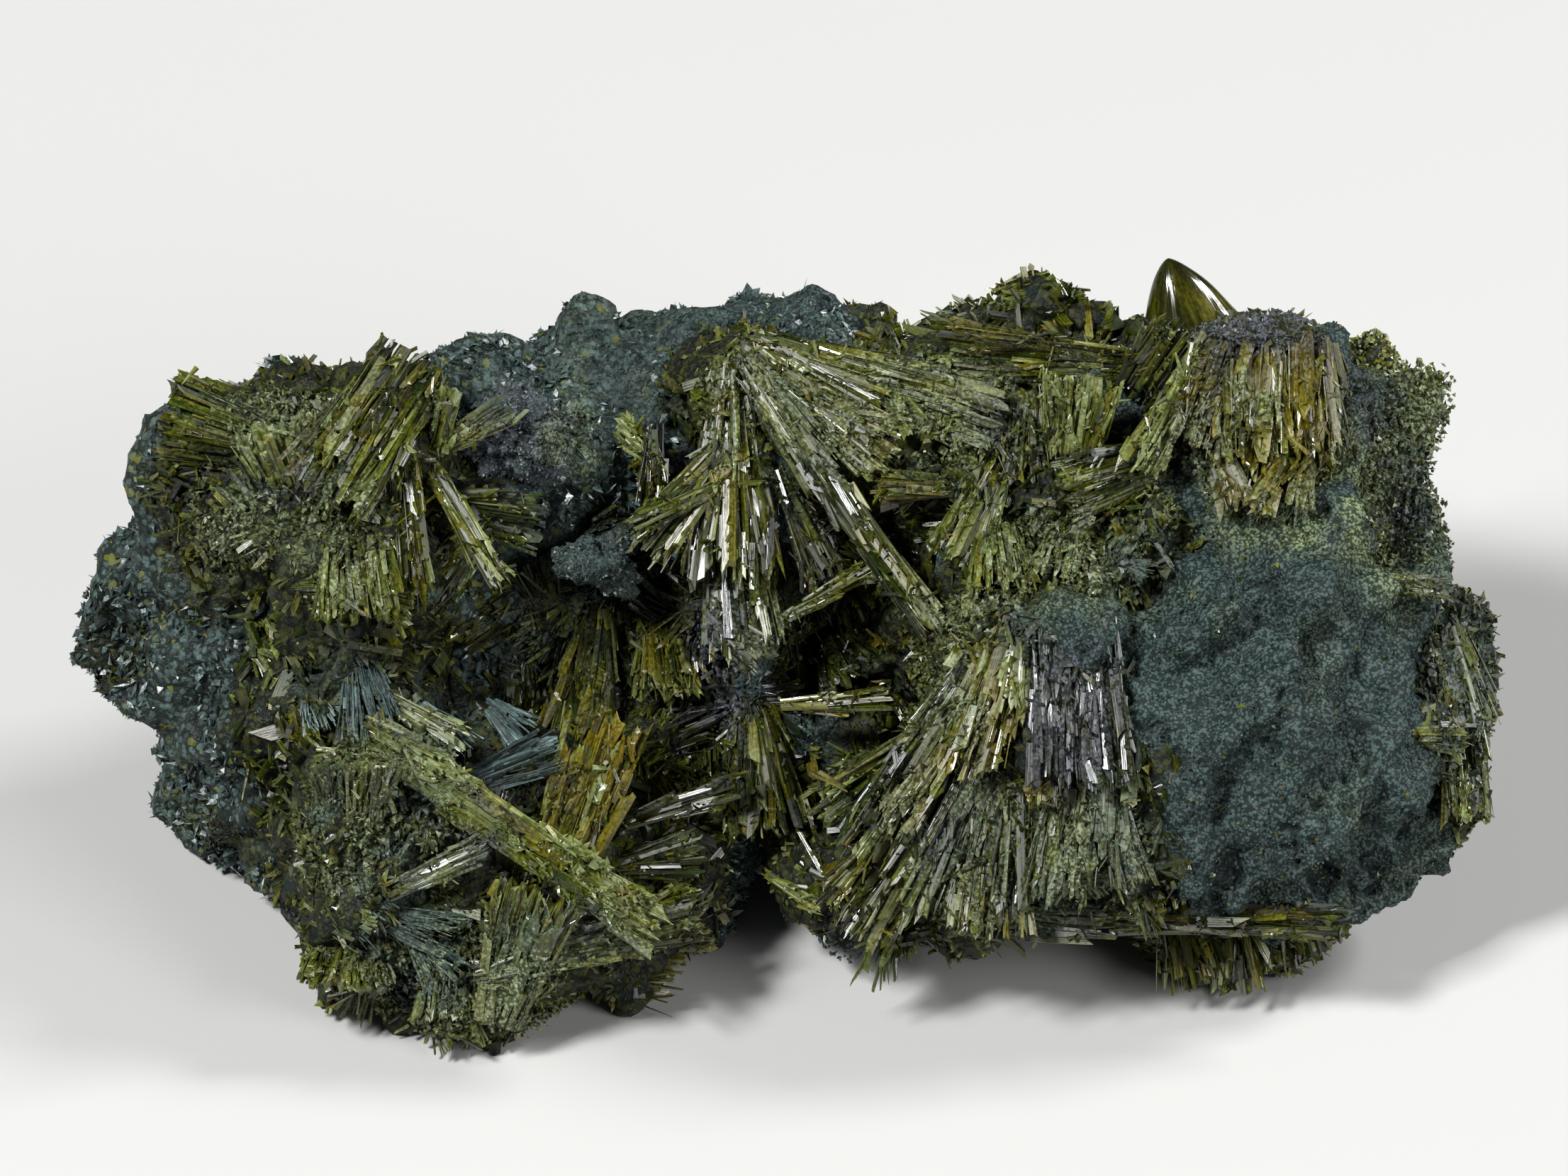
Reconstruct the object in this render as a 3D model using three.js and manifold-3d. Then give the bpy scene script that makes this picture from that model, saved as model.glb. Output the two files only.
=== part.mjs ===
// A hand specimen of epidote, about 42 mm across: fans and sheaves of striated olive-green crystals grown
// over grey-green chlorite rock, with a dark crystal-lined hollow in its face. Millimetres, +Z up, +X to
// the right and -Y towards the viewer. It rests on the flat breaks of its underside, at z = 0.
import * as THREE from "three";
import { mergeVertices } from "three/addons/utils/BufferGeometryUtils.js";
import Module from "manifold-3d";

const wasm = await Module();
wasm.setup();

// Driving dimensions, in millimetres and degrees. A place is given across, up and towards the viewer on a
// picture plane tilted back by LOOK_DOWN, with its zero where the front foot touches the ground.
const LOOK_DOWN = 38;
const CENTRE_X = 0.14; // the middle of the mass, across
const CENTRE_Y = 9.02; // and behind the front foot
const GAP = 0.3; // the seam left between neighbouring solids
const UNDERSIDE = 0.05; // the mean height of the underside, of which the low knobs are cut flat
const UNDERSIDE_RELIEF = 0.6; // how rough the underside is, as a share of the relief elsewhere
const HALF_SIZE = new THREE.Vector3(20, 9, 8); // the block that sets which way the surface faces, about
const MIDDLE = new THREE.Vector3(0, 0, 8); // this point
const RELIEF_COARSE = 0.8; // height of the broad swells of the surface
const RELIEF_FINE = 0.6; // and of its smaller knobs
const SWELL_LENGTH = 6.2;
const KNOB_LENGTH = 2.9;
const STATIONS = 28; // sections from end to end of the mass
const FACE_STEPS = 10; // points on the front of a section
const REAR_STEPS = 6; // and on its back
const BLADE_SHEAR = 0.35; // how far a blade's section leans to one side, as a share of its half width
const TIP_SLOPE = 0.5; // how far a blade's broken end leans, as a share of its width
const ROOT_INSET = 0.4; // how far a sheaf starts behind the point it grows from
const TOOTH_DEPTH = 0.84; // the length of a sheaf's notches, as a share of its teeth
const TIP_SCATTER = 0.14; // how much the lengths of its crystals differ
const RIDGE = 0.3; // how far its ridges and valleys stand from its mean thickness
const STUB_LEAN = 1.8; // how far stubby crystals lean away from the surface's own direction
const MERGE = 5e-3; // points closer than this are one

const ROCK_GREY = new THREE.MeshStandardMaterial({ color: 0x53625d, roughness: 0.95, metalness: 0 });
const DUST_GREEN = new THREE.MeshStandardMaterial({ color: 0x4f625c, roughness: 1, metalness: 0 });
const FIBRE_TEAL = new THREE.MeshStandardMaterial({ color: 0x4a6060, roughness: 0.7, metalness: 0 });
const EPIDOTE_GREEN = new THREE.MeshStandardMaterial({ color: 0x5d6420, roughness: 0.2, metalness: 0 });

// The upper edge of the mass as the viewer sees it, left to right, and the lower edge: across, up, towards
const UPPER_EDGE = [
  [-21, 11.2, -3], [-20.4, 12.5, -3], [-20.2, 14, -2.5], [-19.3, 15.7, -1.5], [-18.5, 16.7, -1],
  [-18.3, 18.8, 0], [-16.1, 19.3, 0.5], [-13.8, 19.7, 0.5], [-11, 20, 0.5], [-10.3, 19.8, -1.5],
  [-9.9, 20.4, -3], [-7.1, 20.9, -3.5], [-4.1, 21.1, -3.5], [-2, 21.7, -3.5], [-0.8, 21.9, -3.5],
  [1.5, 21.6, -3.5], [3, 21.3, -3.5], [3.6, 21, -3], [4.7, 21.9, -2.5], [6.6, 22.6, -2.5],
  [8.7, 22.3, -2.5], [10.3, 21.7, -2], [12.4, 21.2, -1], [14.1, 21.5, 0], [16.1, 21.2, 0],
  [17.3, 21, -2.5], [18.1, 20.3, -2.5], [19.1, 19.3, -2.5], [19.5, 17.3, -2.2], [19.7, 15.5, -2],
  [19.9, 13.9, -2], [20.2, 12.9, -1.5], [21.1, 11.5, -1],
];
const LOWER_EDGE = [
  [-21, 11.2, -3], [-20.3, 10.6, -3.5], [-18.9, 8.9, -5], [-17.8, 6.9, -6.5], [-17.1, 5.7, -6.8],
  [-15.3, 5.6, -5], [-14.4, 3.9, -2], [-13.8, 2.3, -1], [-12.6, 1.1, -0.5], [-11, 0.6, -0.3],
  [-8.9, 0, 0.2], [-7.3, 1, -0.2], [-5.9, 1.7, -0.5], [-4.3, 1.7, -0.8], [-3.1, 2.5, -1],
  [-1.8, 3.3, -1.5], [-1.2, 4.6, -3], [-0.7, 5.7, -4.5], [-0.2, 5.1, -2], [0.4, 4.2, 0.3],
  [1.3, 3.3, 1], [2.9, 3.1, 1.2], [5, 2.8, 1.2], [6.2, 3.2, 1.4], [8, 3.8, 1.5],
  [11.3, 3.5, 1.5], [14.1, 3.2, 1.5], [17.2, 3.4, 1], [18.5, 4.1, 0], [19.9, 4.9, -0.5],
  [20.4, 6.5, -0.8], [20.6, 8, -1], [20.8, 10, -1], [21.1, 11.5, -1],
];

// How far the face of the mass stands towards the viewer at chosen places: across, up, towards
const FACE = [
  // upper left block and the lobe of rock beside it
  [-17.4, 17.4, 0.8], [-15.4, 18.4, 1.6], [-13, 18.6, 3.4], [-11.2, 18, 3], [-14.4, 16, 2.8],
  [-12.3, 15.2, 3.5], [-11.3, 13.4, 2.8], [-13.6, 12.4, 2.4], [-17.2, 13.4, 0], [-19.4, 12, -2],
  [-17.4, 9.2, -1.5], [-15.6, 8.4, 0.8],
  // lower left lobe
  [-12.6, 7.8, 2.8], [-12.4, 4.4, 3], [-9.6, 6.6, 2.4], [-9, 3.4, 2.9], [-11, 1.8, 2],
  [-6.4, 3.8, 2], [-4, 3.6, 0.9], [-2.8, 5.4, 0],
  // the hollow
  [-8.4, 13.6, -1.6], [-8.8, 11, -1.4], [-6, 10.6, -2.4], [-4, 12.6, -2.8], [-5.4, 14.6, -2],
  [-2.8, 10.4, -2.2], [-3.8, 8, -1.4], [-1.4, 7.4, -1], [1, 11.6, -2.4], [2.8, 10, -1.2],
  [0.9, 8.2, -1], [-7.2, 8.4, 0], [2.4, 15, -1.4],
  // the ridge behind it, the centre fans and the band above the right block
  [-8, 18.2, 1], [-6, 16.8, 0.6], [-6, 20, -2.4], [-2.6, 20.8, -2], [-1.4, 19.4, 1.5],
  [-3.6, 17, -1], [-1.3, 15.6, 1], [-1.1, 12.6, 0.6], [0.8, 17.4, 0.8], [2.8, 18.8, 1.5],
  [4.6, 17.8, 1.6], [6.2, 14.4, 0.8], [8.2, 15.4, 1.6], [7.6, 17.8, 0.8],
  // right block
  [6.3, 12, 4], [8.5, 12.2, 4.6], [5, 9, 2.9], [8.4, 9, 4.2], [4, 6, 2.1], [6.6, 5.4, 2.9],
  [9.6, 5, 3.6], [2.4, 4.4, 1.6],
  // crest, upper right block and back plate
  [5, 20.8, -1.4], [7.4, 21, -1.6], [9.8, 20, -1], [10.4, 18, -0.4], [14.4, 20.2, 1.2],
  [14.4, 17.8, 2.6], [12.2, 18.2, 1.5], [16.2, 18, 0.8], [12.4, 15.4, 1.6], [15.6, 15.6, 2.2],
  [17.8, 18.4, -1.9], [18.8, 16.4, -1.6],
  // right lobe and rim
  [11, 13.6, 2.4], [12, 12.4, 4.2], [15, 13.2, 3.4], [12, 9, 5], [15, 9.6, 5], [15, 6, 4.2],
  [12, 5.4, 4.2], [17.5, 7.6, 3.2], [17.6, 11.4, 2.2], [17.6, 4.8, 1.4], [19.4, 11.6, 0.2],
  [20, 8, 0.2], [19.2, 6, 0.8],
];
// And how far its back stands, which is behind the picture plane
const REAR = [
  [-19, 12, -6.5], [-16.5, 15, -7.5], [-15.5, 10, -11], [-12, 17, -9], [-11, 12, -12.6], [-7.5, 16, -12.4],
  [-6, 19, -8.6], [-3, 13, -11.6], [-1.5, 17, -11.4], [1.5, 19.5, -9], [2, 14, -13.4], [5.5, 17, -12.8],
  [7, 20, -8.4], [8.5, 13, -12.2], [11.5, 17.5, -9.6], [12.5, 12, -12.8], [15, 15, -10.4], [17, 11, -9.6],
  [17.5, 17, -6.4], [19.5, 13, -5.6], [0, 8, -12], [-12, 6, -9], [12, 7, -10],
];
const SOFTNESS = 0.5; // how broadly each of these places holds its height

const tilt = THREE.MathUtils.degToRad(LOOK_DOWN);
const VIEWER = new THREE.Vector3(0, -Math.cos(tilt), Math.sin(tilt));

// A place given across, up and towards the viewer, in the specimen's own frame.
function fromPicture([across, up, towards]) {
  return new THREE.Vector3(
    across - CENTRE_X,
    up * Math.sin(tilt) - towards * Math.cos(tilt) - CENTRE_Y,
    up * Math.cos(tilt) + towards * Math.sin(tilt),
  );
}

// A repeatable number from 0 to 1 for piece i of group seed.
function chance(i, seed) {
  const wave = Math.sin(i * 12.9898 + seed * 78.233) * 43758.5453;
  return wave - Math.floor(wave);
}

// The height and depth of an edge at a place across, between its points.
function alongEdge(edge, across) {
  const k = Math.max(1, edge.findIndex(([u]) => u >= across));
  const [a, b] = [edge[k - 1], edge[k]];
  const s = THREE.MathUtils.clamp((across - a[0]) / (b[0] - a[0]), 0, 1);
  return { up: THREE.MathUtils.lerp(a[1], b[1], s), towards: THREE.MathUtils.lerp(a[2], b[2], s) };
}

// How far the face or the back stands towards the viewer: the mean of its places, weighted by nearness.
function depthFrom(places, across, up) {
  let sum = 0;
  let weights = 0;
  for (const [u, v, w] of places) {
    const weight = 1 / ((across - u) ** 2 + (up - v) ** 2 + SOFTNESS) ** 2;
    sum += w * weight;
    weights += weight;
  }
  return sum / weights;
}

// The relief at a point: crossed sine waves at two scales, in millimetres.
function relief(p) {
  const a = (2 * Math.PI) / SWELL_LENGTH;
  const b = (2 * Math.PI) / KNOB_LENGTH;
  const bend = 0.7 * Math.sin(a * p.z);
  const twist = Math.sin(b * p.z);
  const swell = Math.sin(a * p.x + bend) * Math.sin(a * p.y + 1.1) + Math.sin(a * p.z + 0.4);
  const knob = Math.sin(b * p.x + 1.3) * Math.sin(b * p.y + twist) + Math.sin(b * (p.z - p.x) + 2);
  return (RELIEF_COARSE * swell + RELIEF_FINE * knob) / 2;
}

// The way the surface faces at a point, as on an ellipsoid.
function outwardAt(point) {
  return point.clone().sub(MIDDLE).divide(HALF_SIZE).normalize();
}

// A point on the surface of the mass, at a place across and a share s from the lower edge (-1) to the upper
// (1), on the face or on the rear. The section swells from its edges like a flattened ellipse.
function massPoint(across, s, rear) {
  const end = Math.abs(across / UPPER_EDGE[0][0]);
  const low = alongEdge(LOWER_EDGE, across);
  const high = alongEdge(UPPER_EDGE, across);
  const share = (s + 1) / 2;
  const up = THREE.MathUtils.lerp(low.up, high.up, share);
  const edge = THREE.MathUtils.lerp(low.towards, high.towards, share);
  const depth = depthFrom(rear ? REAR : FACE, across, up);
  const closing = Math.sqrt(Math.max(0, 1 - end ** (rear ? 5 : 12)));
  const swell = Math.sqrt(1 - Math.abs(s) ** (rear ? 2 : 3.5)) * closing;
  const point = fromPicture([across, up, edge + (depth - edge) * swell]);
  point.addScaledVector(outwardAt(point), relief(point));
  const lowest = UNDERSIDE + UNDERSIDE_RELIEF * relief(new THREE.Vector3(point.x, point.y, 0));
  point.z = Math.max(point.z, lowest);
  return point;
}

// A closed three.js geometry as a solid that can be joined and cut.
function solidOf(geometry, tolerance = MERGE / 10) {
  const bare = geometry.clone();
  bare.deleteAttribute("normal");
  bare.deleteAttribute("uv");
  const merged = mergeVertices(bare, tolerance);
  return new wasm.Manifold(
    new wasm.Mesh({
      numProp: 3,
      vertProperties: new Float32Array(merged.attributes.position.array),
      triVerts: new Uint32Array(merged.index.array),
    }),
  );
}

// A solid from a list of points and the corners of its faces.
function solidFrom(points, faces) {
  const geometry = new THREE.BufferGeometry();
  geometry.setAttribute("position", new THREE.Float32BufferAttribute(points, 3));
  geometry.setIndex(faces);
  return solidOf(geometry);
}

// The geometry of a solid, with flat faces.
function geometryOf(solid) {
  const mesh = solid.getMesh();
  const geometry = new THREE.BufferGeometry();
  geometry.setAttribute("position", new THREE.BufferAttribute(new Float32Array(mesh.vertProperties), 3));
  geometry.setIndex(new THREE.BufferAttribute(new Uint32Array(mesh.triVerts), 1));
  const flat = geometry.toNonIndexed();
  flat.computeVertexNormals();
  return flat;
}

// The share from the lower edge to the upper of point k of n on a section, closer together at the edges.
function sectionShare(k, n) {
  return -Math.cos((Math.PI * k) / n);
}

// The whole mass as one solid: closed sections from the left end to the right, joined by bands of faces.
function massSolid() {
  const left = UPPER_EDGE[0][0];
  const right = UPPER_EDGE[UPPER_EDGE.length - 1][0];
  const around = FACE_STEPS + REAR_STEPS;
  const points = [...massPoint(left, -1, false)];
  for (let i = 1; i < STATIONS; i++) {
    const across = THREE.MathUtils.lerp(left, right, (1 - Math.cos((Math.PI * i) / STATIONS)) / 2);
    for (let k = 0; k < FACE_STEPS; k++) {
      points.push(...massPoint(across, sectionShare(k, FACE_STEPS), false));
    }
    for (let k = 0; k < REAR_STEPS; k++) {
      points.push(...massPoint(across, -sectionShare(k, REAR_STEPS), true));
    }
  }
  points.push(...massPoint(right, -1, false));
  const last = points.length / 3 - 1;
  const faces = [];
  for (let k = 0; k < around; k++) {
    const next = (k + 1) % around;
    faces.push(0, 1 + k, 1 + next);
    for (let i = 0; i < STATIONS - 2; i++) {
      const here = 1 + i * around;
      const there = here + around;
      faces.push(here + k, there + next, here + next, here + k, there + k, there + next);
    }
    faces.push(last, last - around + next, last - around + k);
  }
  return solidFrom(points, faces);
}

// A lump: an ellipsoid about a place of the picture frame, with its radii across, up and towards.
function lump({ at, radii, detail = 0 }, grow) {
  const geometry = new THREE.IcosahedronGeometry(1, detail);
  const position = geometry.attributes.position;
  for (let i = 0; i < position.count; i++) {
    const unit = [position.getX(i), position.getY(i), position.getZ(i)];
    const point = fromPicture(unit.map((value, axis) => at[axis] + value * (radii[axis] + grow)));
    position.setXYZ(i, point.x, point.y, point.z);
  }
  return solidOf(geometry);
}

// A blade-shaped crystal from root to tip: a flat prism whose section is a parallelogram, broken at a slant.
function blade({ root, tip, facing, wide, thick, slope }, grow) {
  const axis = tip.clone().sub(root).normalize();
  const across = new THREE.Vector3().crossVectors(facing, axis).normalize();
  const normal = new THREE.Vector3().crossVectors(axis, across);
  const a = wide / 2 + grow;
  const b = thick / 2 + grow;
  const lean = a * BLADE_SHEAR;
  const section = [[a, b], [lean - a, b], [-a, -b], [a - lean, -b]];
  const ends = [
    { middle: root.clone().addScaledVector(axis, -grow), rise: 0 },
    { middle: tip.clone().addScaledVector(axis, grow), rise: slope },
  ];
  const points = [];
  for (const { middle, rise } of ends) {
    for (const [x, n] of section) {
      const point = middle.clone().addScaledVector(across, x).addScaledVector(normal, n);
      points.push(...point.addScaledVector(axis, rise * x));
    }
  }
  const sides = section.length;
  const faces = [0, 2, 1, 0, 3, 2, 4, 5, 6, 4, 6, 7];
  for (let k = 0; k < sides; k++) {
    const next = (k + 1) % sides;
    faces.push(k, next, sides + next, k, sides + next, sides + k);
  }
  return solidFrom(points, faces);
}

// A sheaf of crystals grown side by side, opening like a folded fan: root and tip are places of the picture
// frame, base is its width at the root, fan the angle it opens by, and dome how far its outer crystals fall
// back. Its faces meet in ridges and its tips end in teeth. Grown by a margin, it is a plain block.
function sheaf({ root, tip, count, base, thick, fan = 0, dome = 0, seed = 1 }, grow) {
  const plain = grow > 0;
  const steps = plain ? 1 + Math.sign(dome) : count;
  const half = THREE.MathUtils.degToRad(fan) / 2;
  const start = fromPicture(root);
  const axis = fromPicture(tip).sub(start);
  const length = axis.length();
  axis.normalize();
  const side = new THREE.Vector3().crossVectors(VIEWER, axis).normalize();
  const facing = new THREE.Vector3().crossVectors(axis, side);
  const points = [];
  for (let i = 0; i <= steps; i++) {
    const s = (2 * i) / steps - 1;
    const heading = axis.clone().applyAxisAngle(facing, s * half);
    heading.addScaledVector(facing, -dome * s * s).normalize();
    const foot = start.clone().addScaledVector(side, s * (base / 2 + grow));
    const onRidge = plain || i % 2 === 1;
    const tooth = onRidge || count === 1 ? 1 : TOOTH_DEPTH;
    const reach = plain ? length / Math.cos(half) : length * tooth * (1 - TIP_SCATTER * chance(i, seed));
    const level = (thick / 2) * (onRidge ? 1 + RIDGE : 1 - RIDGE) + grow;
    const ends = [
      foot.clone().addScaledVector(axis, -ROOT_INSET - grow),
      foot.clone().addScaledVector(heading, reach + grow),
    ];
    for (const end of ends) {
      for (const sign of [1, -1]) points.push(...end.clone().addScaledVector(facing, sign * level));
    }
  }
  const faces = [0, 1, 3, 0, 3, 2];
  for (let i = 0; i < steps; i++) {
    const a = 4 * i;
    const b = a + 4;
    faces.push(a, a + 2, b + 2, a, b + 2, b, a + 1, b + 3, a + 3, a + 1, b + 1, b + 3);
    faces.push(a, b, b + 1, a, b + 1, a + 1, a + 2, b + 3, b + 2, a + 2, a + 3, b + 3);
  }
  const last = 4 * steps;
  faces.push(last, last + 3, last + 1, last, last + 2, last + 3);
  return solidFrom(points, faces);
}

// Stubby crystals over the surface of the mass inside a lump, one to each cell of a grid of the given pitch.
function stubble({ over, pitch, reach, wide, thick, rear = false, seed }, grow) {
  const { at, radii } = over;
  const blades = [];
  for (let across = at[0] - radii[0] + pitch / 2; across < at[0] + radii[0]; across += pitch) {
    for (let s = -1 + pitch / 20; s < 1; s += pitch / 9) {
      const cell = Math.round(across * 7) + Math.round(s * 90) * 131;
      const u = across + pitch * 0.7 * (chance(cell, seed) - 0.5);
      const root = massPoint(u, THREE.MathUtils.clamp(s + 0.04 * chance(cell, seed + 1), -1, 1), rear);
      const centre = fromPicture(at);
      if (root.distanceTo(centre) > Math.min(...radii) * 1.15 || root.z < 2 * wide) continue;
      const lean = new THREE.Vector3(chance(cell, seed + 2), chance(cell, seed + 3), chance(cell, seed + 4));
      lean.subScalar(0.5);
      const heading = outwardAt(root).addScaledVector(lean, STUB_LEAN).normalize();
      const from = root.clone().addScaledVector(heading, -reach);
      const to = root.clone().addScaledVector(heading, reach * (0.5 + chance(cell, seed + 5)));
      const facing = new THREE.Vector3().crossVectors(heading, lean).normalize();
      blades.push(blade({ root: from, tip: to, facing, wide, thick, slope: TIP_SLOPE * lean.x }, grow));
    }
  }
  return blades;
}

// Everything of one piece in one solid, grown by a margin: the part of the mass inside its zones, and the
// lumps and crystals that stand on it.
function joined({ zones = [], lumps = [], sheaves = [], stubbles = [] }, grow) {
  const solids = [
    ...zones.map((entry) => (grow > 0 ? lump(entry, grow) : lump(entry, 0).intersect(mass))),
    ...lumps.map((entry) => lump(entry, grow)),
    ...sheaves.map((entry) => sheaf(entry, grow)),
    ...stubbles.flatMap((entry) => stubble(entry, grow)),
  ];
  return solids.reduce((sum, next) => sum.add(next));
}

// The largest single body of a solid, with points closer than MERGE joined: crumbs left by a cut are dropped.
function largestBody(solid) {
  const merged = solidOf(geometryOf(solid), MERGE);
  return merged.decompose().reduce((best, next) => (next.volume() > best.volume() ? next : best));
}

const GROUND_SIZE = 100;
const groundBox = new THREE.BoxGeometry(GROUND_SIZE, GROUND_SIZE, GROUND_SIZE);
groundBox.translate(0, 0, -GROUND_SIZE / 2);
const ground = solidOf(groundBox);
const mass = massSolid();

// Chlorite dust grown into two soft clumps on the crystals
const upperClump = { lumps: [{ at: [-8, 17.9, 1.2], radii: [2, 1.5, 1.2], detail: 1 }] };
const centreClump = { lumps: [{ at: [-5.6, 14.2, 0.2], radii: [1.5, 1.2, 1.2], detail: 1 }] };

// A bundle of teal actinolite fibres lying in the lower hollow
const fibreTuft = {
  sheaves: [{ root: [-9.6, 7.5, 2.2], tip: [-6.2, 8.9, 1.6], count: 3, base: 1.5, thick: 0.6, fan: 4 }],
};

const upperLeftZone = { at: [-13.6, 16.2, 1], radii: [5.2, 4.6, 4.6] };
const lowerLeftZone = { at: [-8.6, 4.2, 0], radii: [7.6, 6.4, 5.2] };
const leftSheaves = {
  zones: [upperLeftZone, { at: [-12.6, 10.4, 0.8], radii: [3.8, 4.4, 4.4] }, lowerLeftZone],
  sheaves: [
    { root: [-10.9, 20, 2.2], tip: [-13.6, 15.9, 4.2], count: 4, base: 2.4, thick: 1.2, fan: 6, seed: 2 },
    { root: [-11.6, 18.6, 2.4], tip: [-11.3, 12.6, 3], count: 3, base: 1.3, thick: 0.8, fan: 12, seed: 3 },
    { root: [-14.2, 16.6, 2], tip: [-15.4, 19.6, 4], count: 3, base: 1.4, thick: 1, fan: 26, seed: 4 },
    { root: [-14.8, 17.6, 0.6], tip: [-18.2, 18.6, 0.6], count: 3, base: 1.6, thick: 1.4, fan: 20, seed: 5 },
    { root: [-10.5, 17.3, 1.6], tip: [-7.8, 18.9, 3], count: 3, base: 0.45, thick: 0.5, fan: 8, seed: 6 },
    { root: [-10.4, 17.2, 1.9], tip: [-8.1, 13.4, 2.7], count: 1, base: 0.6, thick: 0.5, seed: 8 },
    { root: [-12.6, 15.4, 2.6], tip: [-12.4, 12.4, 4.4], count: 3, base: 1.8, thick: 0.9, fan: 16, seed: 9 },
    { root: [-11.9, 9, 2.8], tip: [-3.3, 3.2, 3.2], count: 2, base: 1.35, thick: 0.7, seed: 12 },
    { root: [-7.8, 6.3, 2.2], tip: [-3.2, 3.8, 2.8], count: 1, base: 0.5, thick: 0.6, seed: 13 },
    { root: [-11.4, 4.5, 2.8], tip: [-8.5, 5.9, 3.4], count: 1, base: 0.6, thick: 0.6, seed: 14 },
    { root: [-6.7, 4.8, 1.2], tip: [-4.9, 10, 1.8], count: 5, base: 1.4, thick: 0.6, fan: 16, seed: 15 },
    { root: [-8.3, 0.8, 1.6], tip: [-7, 4.7, 3.4], count: 3, base: 1.5, thick: 0.7, fan: 14, seed: 16 },
    { root: [-5.6, 3, 1], tip: [-2, 3.9, 0.9], count: 3, base: 0.9, thick: 0.6, fan: 20, seed: 18 },
    { root: [-4.8, 5.2, 0.4], tip: [-2.1, 5.6, 0.5], count: 3, base: 0.5, thick: 0.5, fan: 24, seed: 19 },
    { root: [-5.6, 6.2, 0.4], tip: [-1.2, 7.6, 1.4], count: 2, base: 0.5, thick: 0.5, fan: 4, seed: 20 },
    { root: [-12, 10.4, 2], tip: [-9.2, 8.7, 3], count: 2, base: 0.5, thick: 0.5, fan: 12, seed: 21 },
    { root: [-12.6, 6.1, 2.2], tip: [-12.6, 8.4, 4.2], count: 3, base: 1.4, thick: 0.8, fan: 24, seed: 23 },
    { root: [-12.8, 3, 0.4], tip: [-12.9, 1.6, 2.4], count: 3, base: 1.8, thick: 0.7, fan: 30, seed: 24 },
    { root: [-9.4, 2.8, 1], tip: [-9.2, 0.6, 1.6], count: 3, base: 1.8, thick: 0.8, fan: 36, seed: 25 },
  ],
  stubbles: [{ over: upperLeftZone, pitch: 3.4, reach: 0.7, wide: 0.9, thick: 0.7, seed: 40 }],
};

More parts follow.
